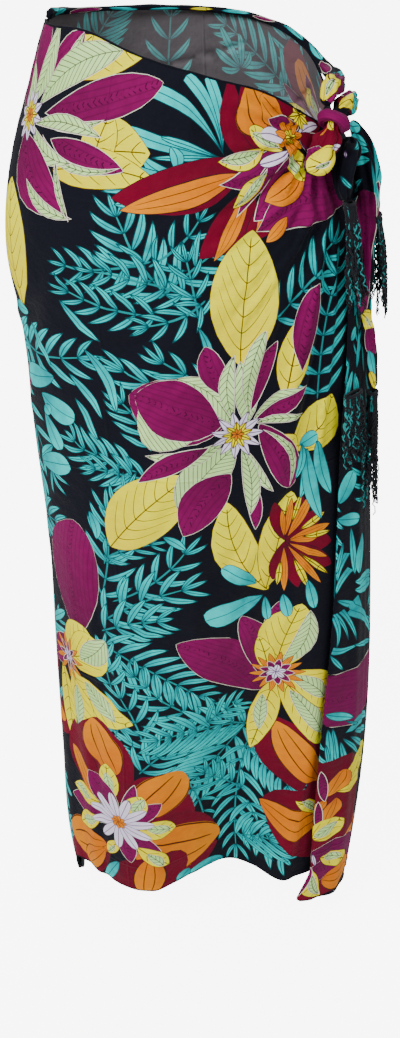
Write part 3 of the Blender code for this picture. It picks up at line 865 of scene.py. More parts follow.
# Columns: stem base across and up, tip across and up, leaf, pairs, bow, slant.
FRONT_FRONDS = listed("""
    -14 -211 -63 -124 44 6; -30 -175 -116 -186 33 5 6 50; -32 -180 18 -127 30 4 -6; -24 -211 50 -153 37 5
    1 -208 -88 -188 33 6 -5 48; -23 -229 -113 -209 33 6 5 40; 12 -234 -3 -163 30 4 0 42; 84 -236 168 -163 41 6 -5
    138 -331 166 -192 46 7 5 50; 18 -212 -45 -239 30 4 10 35; 25 -307 -73 -279 41 4 8 24; 27 -307 -33 -264 33 3 5 30
    -51 -400 -121 -372 39 6 6; -36 -375 -66 -315 35 5 -5 42; -38 -407 -102 -404 33 5 0; -93 -523 -55 -412 35 5
    -99 -571 -86 -439 44 6 -4; -85 -569 3 -486 41 5 -8 42; -99 -601 7 -544 49 5 8 42; -94 -518 -29 -487 30 4 10 40
    -102 -617 -26 -589 45 5 8 42; -102 -632 16 -712 48 9 6 48; 68 -771 -68 -658 46 9 8 46; -48 -801 -84 -693 46 6 -5
    68 -771 -28 -864 65 8 6; -11 -826 18 -947 30 5 6; 71 -802 65 -1002 49 9 -4; 71 -808 122 -864 50 6
    76 -904 120 -981 54 6 -5; -60 -817 6 -761 47 6 6; 72 -771 -46 -765 53 8 -6 46; -80 -740 -106 -831 32 4 0
    16 -754 59 -729 37 4 0 40; 72 -888 11 -828 40 5; 69 -970 108 -955 44 4 0; -91 -696 -108 -631 40 4 0
""", 5, 45)

# Columns: ink, base across and up, tip across and up, width, bow, widest place, point.
FRONT_MOTIFS = listed("""
    # Loose leaves.
    T 10 -237 20 -298 10 10 50 150; T -115 -223 -78 -259 9 -5 50 150; T -97 -270 -67 -334 12 10 50 150
    T -117 -301 -81 -342 10 5 50 150; T -112 -327 -88 -369 9 5 50 150; T -171 -265 -137 -299 10 3 50 150
    T -198 -283 -173 -321 8 0 50 150; T -107 -459 -100 -493 13 10 50 150; T -114 -504 -109 -542 14 0 50 150
    T -27 -478 -3 -495 11 5 50 150; T -137 -312 -197 -332 27 0 60 110; T -161 -339 -114 -352 29 -5 62 120
    T -158 -359 -137 -396 22 0 70 120; T -149 -395 -176 -419 12 0 60 110; T -178 -427 -123 -407 26 0 62 110
    T -194 -448 -182 -479 13 0 50 140; T -157 -351 -148 -358 17 0 50 110; T -184 -248 -169 -253 19 0 50 130
    # Paddles.
    T 43 -79 -39 -22 15 -10 82 125; T 42 -79 -1 -11 15 -13 82 120; T 41 -77 28 -12 15 -10 85 115
    T 42 -81 -58 -58 14 3 80 120; T 39 -81 -24 -63 7 0 70 130; T 42 -81 -32 -81 6 0 60 140
    T 42 -82 -13 -90 8 5 55 140; T 20 -84 -19 -99 9 5 50 140; T -9 -92 -15 -71 13 -15 50 150
    T -9 -94 -41 -79 12 15 50 150; T -11 -96 -59 -84 10 10 50 150; T -13 -99 -78 -106 12 12 50 150
    T -18 -103 -75 -113 9 0 50 150; T -32 -109 -63 -124 10 10 50 150
    # Flower A.
    Y -169 -246 -182 -122 60 4 55; Y -101 -79 -33 -74 61 0 45; Y -83 -105 -71 -45 36 10 55
    Y -126 -101 -23 -96 38 6 40; Y -130 -16 -34 3 40 10 45; Y -128 -7 -106 18 18 5 50 190
    M -185 -51 -187 26 48 6 62 183; M -160 -24 -121 21 30 -5 60; P -177 -52 -155 22 24 -6 50 190
    P -137 -12 -118 18 10 -5 50 190; P -163 -51 -65 3 32 14 55 183; M -151 -55 -27 -7 38 -3 58 177
    P -155 -60 -79 -51 10 -8 50 190; M -135 -75 -55 -90 26 -2; P -162 -67 -80 -70 16 12 50 190
    P -147 -73 -59 -91 9 -16 50 190; P -163 -69 -108 -96 17 -12 50 190; M -180 -79 -107 -138 51 -10 45
    P -159 -116 -101 -144 13 -12 50 190; P -124 -91 -103 -145 7 -6 50 190; P -184 -58 -198 -18 20 -6 50 190
    M -197 -63 -211 -6 26 10 50 183; O -190 -65 -170 -60 7 0 50 137
    # Flower C.
    R 85 -88 50 -17 34 14 55 148; R 83 -76 76 -20 30 2 50 148; O 102 -64 79 -20 56 10 55 148
    R 141 -63 121 -32 34 0 50 160; R 140 -66 183 -54 24; O 123 -56 98 -29 29 10 55 160
    R 70 -85 -64 -125 46 2 50 177; O 59 -94 -59 -124 25 3 50 183; R 78 -105 17 -176 37 2 50 177
    O 71 -108 22 -172 16 4 50 183; R 104 -118 60 -159 25 2; O 100 -116 70 -148 12 0 50 183
    M 115 -79 37 -110 25 5 40; M 111 -82 49 -131 17 0 40 183; M 123 -79 74 -141 24 5
    M 200 -128 72 -143 52 -10 42 154; M 141 -63 100 -53 17 0 50 160; M 138 -73 179 -89 22 0 50 160
    O 135 -100 86 -125 26 6 42; O 108 -137 81 -158 13 5 50 183; Y 95 -75 36 -89 17 5; P 88 -78 38 -80 12 6 50 190
    Y 90 -95 51 -129 18 -2 50 183; P 90 -91 54 -125 9 5 50 190; Y 114 -79 75 -60 19 0 60 160
    P 110 -76 80 -62 9 0 60 160; Y 119 -76 136 -108 24 5 55 160; P 119 -80 128 -103 9 0 55
    L 123 -74 90 -63 13 -10 60 120; L 119 -78 83 -88 9 5 60 130; L 133 -72 170 -65 10 10 60 130
    R 136 -69 166 -81 14; R 122 -68 133 -70 7 0 50 137
    # Star flower B.
    Y 53 -281 78 -147 72 5 50 166; Y 99 -319 117 -234 34 0 50 166; M 115 -292 141 -206 27 6 55
    Y 108 -382 153 -326 58 -18 50 166; Y 82 -365 115 -385 28 10 50 160; Y -84 -498 -3 -396 69 2 50 154
    Y 87 -559 45 -434 50 12 50 160; Y 84 -556 100 -430 45 -2 55 154; P 44 -342 -8 -291 30 -12 55 177
    M 35 -345 -56 -316 71 3 55 154; P 18 -348 -46 -326 70 10 62 160; M 33 -343 -51 -319 66 0 55 154
    M 42 -314 21 -258 29 10 55 166; P 46 -337 44 -269 17 10 50 183; P 60 -345 55 -275 25 -2 50 177
    M 62 -331 86 -256 25 5 50 177; P 63 -338 85 -246 18 12 60 183; P 67 -340 120 -307 17 5 50 183
    M 69 -340 124 -311 17 -5 50 183; P 69 -345 121 -342 10 5 50 183; M 73 -346 103 -428 36 10 55 137
    P 77 -353 107 -424 9 22; P 57 -371 86 -426 15 -5 50 183; M 59 -397 76 -471 16 2 55 183
    P 55 -373 59 -454 19 10 50 183; P 49 -370 -8 -445 48 -6; M 44 -401 -9 -475 46 -5
    P 38 -360 -40 -387 20 10 50 183; M 21 -366 -53 -407 21 0 50 177
    # Flower G.
    R 104 -494 121 -440 24 0 55; R 104 -494 148 -464 26 0 55; R 104 -494 162 -505 27 0 55
    R 104 -494 158 -544 25 0 55; R 104 -494 122 -557 21 0 55; R 104 -494 90 -545 21 0 55; R 104 -494 85 -440 17 0 55
    O 106 -490 137 -441 13 0 55 190; O 108 -493 158 -483 14 0 55 190; O 108 -494 143 -497 10 0 55 190
    O 107 -497 156 -528 9 0 55 190; O 106 -499 148 -561 9 0 55 190; O 103 -500 105 -564 10 0 55 190
    O 104 -489 111 -440 9 0 55 190; O 103 -489 99 -452 8 0 55 190; Y 111 -473 122 -436 7 0 55 190
    Y 120 -483 151 -468 10 0 55 190; Y 120 -512 157 -551 7 0 55 190; Y 114 -518 132 -562 9 0 55 190
    Y 100 -519 97 -554 8 0 55 190; Y 123 -492 159 -495 8 0 55 190
    # Blue-green drop leaves right.
    T 118 -378 139 -370 19 0 60 120; T 124 -382 120 -443 15 10 50 150; T 127 -383 147 -476 18 -5 50 150
    T 139 -377 160 -449 18 -5 50 150; T 121 -377 114 -418 10 10 50 150
    # Magenta long petal.
    M -136 -636 -143 -479 88 5 55 148
    # Flower E.
    M -154 -655 -199 -700 39 0 60 148; Y -169 -683 -125 -622 64 -10 60 148; Y -157 -681 -98 -644 62 0 60 148
    P -134 -672 -101 -628 34 -10 50 148; Y -167 -699 -68 -749 55 -6 50 177; P -130 -703 -83 -740 27 -5 50 183
    Y -155 -704 -140 -789 48 5 50 177; P -145 -715 -144 -783 24 0 50 183; Y -181 -702 -176 -826 30 5 50 183
    # Lower left orange.
    R -96 -882 -120 -750 102 6 52 160; O -88 -827 -120 -753 62 8 50 160; R -115 -883 -172 -786 58 6
    O -118 -881 -167 -822 34 3 50 183; Y -98 -873 -105 -814 32; P -98 -863 -102 -829 15
    # Flower F.
    M 89 -713 -22 -631 65 -10 50 166; M 85 -690 65 -592 38 -4 55 154; M 96 -657 96 -577 28 0 50 160
    R 129 -862 104 -752 67 2 55 148; R 155 -772 167 -917 48 0 50 148; O 159 -861 110 -756 44 6 50 154
    R 93 -889 180 -908 94 -8 50 148; R 194 -999 102 -901 54 4 50 148; O 89 -895 180 -908 56 -22 50 160
    Y 167 -920 127 -875 19; P 163 -916 132 -879 10; Y 100 -676 129 -584 64 6 50 154; P 105 -670 129 -592 26 -16
    Y 92 -684 82 -627 23 0 50 160; Y 99 -695 81 -815 34 -2 45; P 87 -720 82 -777 17; Y 103 -689 163 -795 48 5 50 166
    P 115 -709 152 -786 22 6; Y 107 -682 159 -740 42 18 50 160; P 115 -687 155 -728 22 12
    # Drop leaves middle.
    T 81 -564 17 -593 32 5 72 115; T 73 -547 35 -523 22 0 60 110; T 83 -567 88 -603 12 0 65 110
    T 104 -567 110 -598 14 0 60 110; T 131 -551 140 -592 14 0 60 120
    # Flower D.
    R -78 -900 -4 -860 116 0 62 137; O -69 -886 -13 -820 67 -5 55 148; R -75 -926 36 -967 83 10 45 166
    R -49 -970 36 -971 75 -10 50 160; O -70 -924 36 -971 94 -12 52 154; R -76 -965 -43 -1032 108 0 50 137
    R -88 -975 -16 -1021 103 0 60 137; O -49 -956 -51 -1024 42 0 60 137; R -102 -955 -186 -1030 64 0 60 137
    O -109 -959 -178 -988 75 0 60 143; O -113 -969 -154 -1013 34 0 60 143; M -88 -904 -174 -916 40 0 55 177
    M -88 -904 -128 -839 40 0 55 177; M -88 -904 -31 -964 28 0 55 177; M -88 -904 -33 -868 27 0 55 177
    M -88 -904 -28 -917 25 0 55 177; M -88 -904 -61 -837 17 0 55 177; M -88 -904 -70 -969 26 0 55 177
    Y -74 -891 -56 -854 30 0 50 148; P -69 -883 -57 -857 15 0 50 160; Y -62 -908 -19 -918 33 5
    P -53 -907 -24 -914 15 5; Y -65 -940 -29 -979 25 5; P -53 -951 -32 -974 13 5; Y -119 -916 -162 -947 28 0 50 160
    P -122 -919 -152 -942 14 0 50 160; Y -89 -940 -110 -970 18 0 50 160; P -95 -951 -106 -968 7 0 50 160
    Y -118 -891 -171 -887 30; P -131 -889 -167 -891 16; O -95 -895 -81 -915 20 0 50 137
    # Hem leaves.
    T 46 -1011 -10 -1018 21 -5 50 130; T -91 -977 -119 -1026 16 0 50 130; T -2 -1003 -18 -1018 19 0 50 130
""", 0, 50, 172)

# Florets in the hearts of the front's flowers. Columns: ink, middle across and up, petals, length, width, first
# direction, widest place, point.
FRONT_FLORETS = listed("""
    L -178 -62 10 25 10 0 42 175; Y -178 -62 9 16 7 12 45 170; O -178 -62 7 8 5 0 50 150
    L 50 -356 11 29 10 3 42 175; Y 50 -356 9 17 7 15 45 170; O 50 -356 7 8 4 0 50 150; O -164 -684 11 33 8 8 50 170
    M -164 -684 8 22 7 0 50 160; L -164 -684 6 12 6 0 50 140; O 100 -683 14 32 8 4 50 165
    M 100 -683 9 20 9 0 50 150; L 100 -683 6 12 7 20 50 140; L -88 -905 11 45 14 6 60 120
    O -88 -905 8 11 7 0 50 120; Y 145 -52 8 14 7 0 50 165; O 126 -69 9 18 8 0 50 150; Y 126 -69 6 8 5 0 50 140
""")


# How far the tips of wide petals turn aside, as shares of their length, in turn.
HOOKS = (0.07, -0.05, 0.04, -0.08)
HOOKED_WIDTH = 12
STRAIGHT_INKS = "TL"


def drawn(fronds: Table, motifs: Table, florets: Table = (), under: Table = ()) -> Pattern:
    """Lay the fronds, then the motifs, then the florets in the flowers' hearts, of tables in millimetres.

    Args:
        fronds: Fern fronds.
        motifs: Petals and leaves.
        florets: Rings of small petals.
        under: Rows of another pattern, in metres, that lie beneath all of them.
    """
    pattern = Pattern(list(under))
    for u0, h0, u1, h1, leaf, pairs, bow, slant in fronds:
        pattern.frond((u0 / 1e3, h0 / 1e3), (u1 / 1e3, h1 / 1e3), leaf / 1e3, pairs, bow / 100, slant)
    for number, (letter, u0, h0, u1, h1, width, bow, widest, point) in enumerate(motifs):
        straight = letter in STRAIGHT_INKS or width < HOOKED_WIDTH
        hook = 0.0 if straight else HOOKS[number % len(HOOKS)]
        pattern.shape(INK_LETTERS[letter], (u0 / 1e3, h0 / 1e3), (u1 / 1e3, h1 / 1e3), width / 1e3,
                      bow / 100, widest / 100, point / 100, hook)
    for letter, u, h, count, reach, width, first, widest, point in florets:
        pattern.ring(INK_LETTERS[letter], (u / 1e3, h / 1e3), count, reach / 1e3, width / 1e3, first,
                     widest=widest / 100, point=point / 100)
    return pattern


def coats() -> list[bpy.types.Material]:
    """One material for each ink of the printed side, then one for each ink of the reverse."""
    return [ink.coat(reverse) for reverse in (False, True) for ink in INKS]


def flat_edge(angles: Array, table: Table) -> Array:
    """An edge of flat cloth, as metres along it and height, from a table of angle and height."""
    return np.stack([FIGURE.along_at(angles), read(table, angles)], -1)


def border_of(hem: Array, top: Array, spacing: float = 0.006) -> Array:
    """Border of flat cloth: along its hem, up one side, back along its top and down the other side."""

    def side(start: Array, end: Array) -> Array:
        """Points between two corners."""
        count = max(int(np.linalg.norm(end - start) / spacing), 2)
        return start + np.linspace(0.0, 1.0, count + 1)[1:-1, None] * (end - start)

    return np.concatenate([hem, side(hem[-1], top[-1]), top[::-1], side(top[0], hem[0])])


def hang(piece: bpy.types.Object, slot: str, *nodes: str) -> None:
    """Hang a piece on the part in the stead of its plain solids."""
    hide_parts(*nodes)
    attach(piece, "root")


def tubes(centres: Array, radii: Array, sides: int, closed: bool) -> tuple[Array, list[list[int]]]:
    """Points and faces of round tubes along many paths at once.

    Args:
        centres: Paths, as an array of paths by stations by 3.
        radii: Radius at each station of each path.
        sides: Sides of a tube.
        closed: Whether each path runs back into its start.
    """
    count, stations = centres.shape[:2]
    if closed:
        along = np.roll(centres, -1, axis=1) - np.roll(centres, 1, axis=1)
    else:
        along = np.gradient(centres, axis=1)
    along = along / np.maximum(np.linalg.norm(along, axis=-1, keepdims=True), 1e-9)
    side = np.cross(along, (0.31, -0.22, 0.925))
    side = side / np.linalg.norm(side, axis=-1, keepdims=True)
    other = np.cross(along, side)
    turn = np.linspace(0.0, 2 * np.pi, sides, endpoint=False)
    ring = side[:, :, None] * np.cos(turn)[:, None] + other[:, :, None] * np.sin(turn)[:, None]
    points = centres[:, :, None] + ring * radii[:, :, None, None]
    number = np.arange(count * stations * sides).reshape(count, stations, sides)
    after = np.roll(number, -1, axis=1) if closed else number[:, 1:]
    before = number if closed else number[:, :-1]
    quads = np.stack([before, np.roll(before, -1, axis=2), np.roll(after, -1, axis=2), after], -1)
    faces = quads.reshape(-1, 4).tolist()
    if not closed:
        faces += number[:, 0, ::-1].tolist() + number[:, -1].tolist()
    return points.reshape(-1, 3), faces


HEM_RADIUS = 0.0011
HEM_SIDES = 6
HEM_SPACING = 0.004


def rolled_hem(name: str, border: Array, surface: Surface, coat: bpy.types.Material) -> bpy.types.Object:
    """Make the narrow machine-rolled hem that runs round a stretch's border."""
    gaps = np.linalg.norm(np.diff(np.concatenate([border, border[:1]]), axis=0), axis=1)
    keys = np.concatenate([[0.0], np.cumsum(gaps)])
    ring = np.concatenate([border, border[:1]])
    at = np.linspace(0.0, keys[-1], int(keys[-1] / HEM_SPACING), endpoint=False)
    flat = np.stack([np.interp(at, keys, ring[:, k]) for k in range(2)], -1)
    path = surface(flat[:, 0], flat[:, 1]) - 0.0004 * surface_normals(surface, flat)
    radii = HEM_RADIUS * (1.0 + 0.10 * np.sin(at * 260.0))
    points, faces = tubes(path[None], radii[None], HEM_SIDES, True)
    cells = np.repeat(at, HEM_SIDES)
    low, high = cells.min(), cells.max()
    numbers = np.array(faces)
    along = (cells[numbers] - low) / (high - low)
    along = np.where(along - along[:, :1] < -0.5, 1.0, along)
    around = np.array([0.0, 1.0, 1.0, 0.0]) / HEM_SIDES + (numbers[:, :1] % HEM_SIDES) / HEM_SIDES
    bake = mapped(np.stack([along, around], -1))
    cloth = np.stack([along * (high - low), around * 0.007], -1)
    layers = {"OFBake": bake, "Cloth": cloth, "Motif": cloth, "Size": np.full_like(cloth, 0.01)}
    return make_mesh(name, points, faces, None, None, layers, [coat])


@dataclass
class FrontWrap:
    """The stretch across the front, gathered into the knot."""

    # Columns: angle, height.
    top: Table = ((-180, 0.012), (-156, 0.016), (-131, 0.019), (-102, 0.001), (-82, -0.014), (-59, -0.031),
                  (-40, -0.056), (-25, -0.075), (-6, -0.090))
    hem: Table = ((-180, -1.092), (-171, -1.070), (-162, -1.032), (-148, -1.019), (-120, -1.017), (-60, -1.015),
                  (-6, -1.030))
    first: float = -180.0
    last: float = -6.0
    # Columns: metres along, height, length, direction. Sprigs where the front meets the back.
    side_sprigs: Table = ((-0.214, -0.30, 0.055, 70), (-0.206, -0.44, 0.060, 290), (-0.212, -0.66, 0.060, 40),
                          (-0.214, -0.90, 0.055, 300), (-0.205, -0.24, 0.050, 200), (-0.210, -1.00, 0.050, 80))
    # Motifs carried on from the back stay if they reach further along the cloth than this.
    carried_past: float = -0.250
    gathered_reach: float = 0.13
    relief: Relief = Relief(
        folds=(
            (-68, -77, 27, -0.050, -0.36, -1.02, -1.30),
            (-40, -55, 8, 0.009, -0.55, -0.95, -1.30),
            (-118, -112, 20, 0.007, -0.40, -0.90, -1.30),
            (-158, -150, 14, -0.006, -0.45, -0.85, -1.30),
            (-48, -100, 9, 0.0045, -0.09, -0.28, -0.62),
            (-44, -76, 8, 0.0055, -0.11, -0.30, -0.75),
            (-42, -58, 6, 0.0060, -0.12, -0.32, -0.80),
            (-50, -128, 9, 0.0035, -0.07, -0.20, -0.34),
            (-120, -150, 12, -0.0035, -0.10, -0.25, -0.36),
            (-90, -96, 7, -0.0030, -0.50, -0.90, -1.30),
            (-135, -131, 6, -0.0030, -0.55, -0.95, -1.30),
            (-50, -66, 5, 0.0030, -0.20, -0.50, -0.95),
            (-58, -112, 5, 0.0022, -0.08, -0.22, -0.46),
            (-53, -84, 4, -0.0022, -0.12, -0.26, -0.55),
        ),
        gathers=((16, 0.0032, 0.0, 0.040, 0.120), (27, 0.0015, 1.3, 0.030, 0.170), (9, 0.0016, 0.4, 0.060, 0.240)),
        pulls=(
            (-46, -0.082, -88, -0.062, 0.008, 0.0022), (-46, -0.089, -96, -0.104, 0.010, 0.0030),
            (-47, -0.097, -100, -0.150, 0.010, -0.0026), (-46, -0.104, -116, -0.215, 0.013, 0.0034),
            (-45, -0.115, -108, -0.270, 0.010, -0.0024), (-45, -0.125, -96, -0.300, 0.011, 0.0034),
            (-43, -0.130, -84, -0.360, 0.010, -0.0028), (-42, -0.140, -74, -0.430, 0.012, 0.0040),
            (-40, -0.150, -62, -0.440, 0.009, -0.0026), (-38, -0.150, -52, -0.520, 0.010, 0.0036),
            (-70, -0.110, -150, -0.160, 0.014, 0.0018), (-90, -0.230, -165, -0.300, 0.018, 0.0020),
            (-62, -0.300, -128, -0.470, 0.018, 0.0022), (-56, -0.420, -110, -0.640, 0.020, -0.0022),
            (-48, -0.480, -84, -0.840, 0.018, 0.0028), (-130, -0.480, -118, -0.820, 0.018, -0.0022),
            (-100, -0.560, -140, -0.960, 0.020, 0.0024), (-70, -0.700, -60, -1.000, 0.014, 0.0022),
        ),
        puffs=((-47, -0.140, 9.0, 0.028, 0.0075), (-58, -0.082, 7.0, 0.018, 0.0040),
               (-60, -0.160, 8.0, 0.030, 0.0035)),
    )

    def surface(self, along: Array, height: Array) -> Array:
        """The outline of the figure with the folds laid on it."""
        angle = FIGURE.angle_at(along)
        return FIGURE.point(angle, height, self.relief.depth(angle, height))

    def near_knot(self, border: Array) -> Array:
        """Points 3 mm apart where the cloth is gathered into the knot."""
        middle = np.array([FIGURE.along_at(np.array(self.relief.knot_angle)), self.relief.knot_height])
        steps = np.arange(-0.135, 0.135, 0.003)
        spots = np.stack(np.meshgrid(steps, steps), -1).reshape(-1, 2) + middle + 0.0007
        near = np.linalg.norm(spots - middle, axis=1) < self.gathered_reach
        low, high = border.min(0) + 0.001, border.max(0) - 0.001
        return spots[near & (spots > low).all(1) & (spots < high).all(1)]

    def carried_on(self) -> list[tuple[float, ...]]:
        """The back's motifs that reach past the wearer's right side, moved by once round the figure."""
        back = BackWrap()
        shift = float(FIGURE.along_at(np.array(-180.0)) - FIGURE.along_at(np.array(180.0)))
        blooms = [(kind, u + shift, *rest) for kind, u, *rest in back.blooms]
        sprigs = [*((u + shift, *rest) for u, *rest in back.sprigs), *self.side_sprigs]
        rows = garden(blooms, sprigs, GARDEN_SEED).rows
        return [row for row in rows if max(row[Column.U0], row[Column.U1]) > self.carried_past]

    def build(self, finishes: Coats) -> list[bpy.types.Object]:
        """Make the printed cloth and its rolled hem."""
        angles = np.linspace(self.first, self.last, 130)
        border = border_of(flat_edge(angles, self.hem), flat_edge(angles, self.top))
        print_of = drawn(FRONT_FRONDS, FRONT_MOTIFS, FRONT_FLORETS, self.carried_on())
        piece = Shell("front_cloth", border, self.surface, print_of, extra=self.near_knot(border)).build(finishes)
        hang(piece, "front_cloth", "front_wrap")
        hem = rolled_hem("front_hem", border, self.surface, finishes[Ink.GROUND])
        hang(hem, "front_cloth", "front_wrap")
        return [piece, hem]


@dataclass(frozen=True)
class Bloom:
    """A kind of flower, as rings of like petals from the outermost to the heart."""

    # Columns: ink, petals, length, width, first direction, start, widest place, point. Lengths, widths and
    # starts are shares of the flower's reach.
    rings: Sequence[tuple[str, int, float, float, float, float, float, float]]

    def lay(self, pattern: Pattern, centre: Spot, reach: float, turn: float, chance: np.random.Generator) -> None:
        """Lay one flower, no two petals quite alike.

        Args:
            pattern: The print that it goes into.
            centre: Its middle, as metres along the cloth and height.
            reach: Length of its longest petals.
            turn: Direction of its first petal in degrees.
            chance: Source of the differences between petals.
        """
        for letter, count, length, width, first, start, widest, point in self.rings:
            turns = turn + first + np.arange(count) * 360.0 / count + chance.uniform(-6, 6, count)
            lengths = reach * length * chance.uniform(0.86, 1.12, count)
            widths = reach * width * chance.uniform(0.88, 1.12, count)
            bows = chance.uniform(-0.09, 0.09, count)
            table = np.column_stack([turns, lengths, widths, bows])
            pattern.petals(INK_LETTERS[letter], centre, table, start * reach, widest=widest, point=point)


STAR = Bloom((
    ("Y", 6, 1.00, 0.38, 0, 0.10, 0.55, 1.25), ("M", 6, 0.80, 0.27, 30, 0.05, 0.55, 1.20),
    ("P", 12, 0.62, 0.12, 15, 0.05, 0.50, 1.40), ("M", 6, 0.47, 0.13, 0, 0.05, 0.50, 1.30),
    ("P", 6, 0.42, 0.09, 30, 0.03, 0.50, 1.40), ("L", 10, 0.21, 0.07, 0, 0.0, 0.42, 1.70),
    ("Y", 9, 0.13, 0.05, 10, 0.0, 0.45, 1.70), ("O", 6, 0.065, 0.03, 0, 0.0, 0.45, 1.50),
))
LILY = Bloom((
    ("R", 6, 1.00, 0.52, 0, 0.0, 0.62, 1.05), ("O", 6, 0.88, 0.32, 4, 0.14, 0.58, 1.10),
    ("M", 7, 0.66, 0.20, 20, 0.0, 0.50, 1.35), ("Y", 6, 0.58, 0.19, 12, 0.10, 0.50, 1.20),
    ("P", 6, 0.52, 0.09, 12, 0.14, 0.50, 1.30), ("L", 11, 0.36, 0.11, 0, 0.03, 0.60, 1.15),
    ("O", 7, 0.075, 0.06, 0, 0.0, 0.50, 1.10),
))
CROWN = Bloom((
    ("M", 5, 1.00, 0.40, 0, 0.0, 0.60, 1.15), ("Y", 6, 0.74, 0.30, 30, 0.05, 0.55, 1.20),
    ("P", 6, 0.66, 0.14, 32, 0.10, 0.50, 1.30), ("O", 10, 0.31, 0.09, 0, 0.0, 0.50, 1.50),
    ("M", 9, 0.23, 0.08, 20, 0.0, 0.50, 1.40), ("L", 7, 0.13, 0.06, 0, 0.0, 0.50, 1.30),
))
TORCH = Bloom((
    ("R", 8, 1.00, 0.34, 0, 0.0, 0.55, 1.30), ("O", 9, 0.95, 0.14, 3, 0.05, 0.55, 1.50),
    ("Y", 7, 0.88, 0.09, 22, 0.25, 0.55, 1.50), ("O", 7, 0.50, 0.09, 15, 0.0, 0.55, 1.50),
))
KINDS = (STAR, LILY, CROWN, TORCH)
GARDEN_SEED = 11


def garden(blooms: Table, sprigs: Table, seed: int) -> Pattern:
    """Fern fronds, loose leaves and flowers for a stretch that the photograph doesn't show.

    Args:
        blooms: Flowers. Columns: kind, metres along, height, reach, direction, fronds behind it.
        sprigs: Loose sprigs. Columns: metres along, height, length, direction.
        seed: Seed of the differences between like motifs.
    """
    pattern = Pattern()
    chance = np.random.default_rng(seed)
    for _, u, h, reach, turn, fronds in blooms:
        turns = turn + 17 + np.arange(fronds) * 360.0 / max(fronds, 1) + chance.uniform(-15, 15, fronds)
        for way in np.radians(turns):
            ahead = np.array([math.cos(way), math.sin(way)])
            base = np.array([u, h]) + ahead * reach * 0.45
            tip = np.array([u, h]) + ahead * reach * chance.uniform(1.5, 1.9)
            pattern.frond(tuple(base), tuple(tip), chance.uniform(0.034, 0.050), int(chance.integers(6, 9)),
                          chance.uniform(-0.08, 0.08), chance.uniform(42, 50))
    for u, h, length, turn in sprigs:
        pattern.petals(Ink.TURQUOISE, (u, h), [
            (turn + swing, length * share, length * wide, swing / 500)
            for swing, share, wide in ((-62, 0.55, 0.17), (-30, 0.80, 0.20), (0, 1.0, 0.22), (33, 0.75, 0.20),
                                       (70, 0.50, 0.16))
        ], widest=0.58, point=1.25)
    for kind, u, h, reach, turn, _ in blooms:
        KINDS[int(kind)].lay(pattern, (u, h), reach, turn, chance)
    return pattern


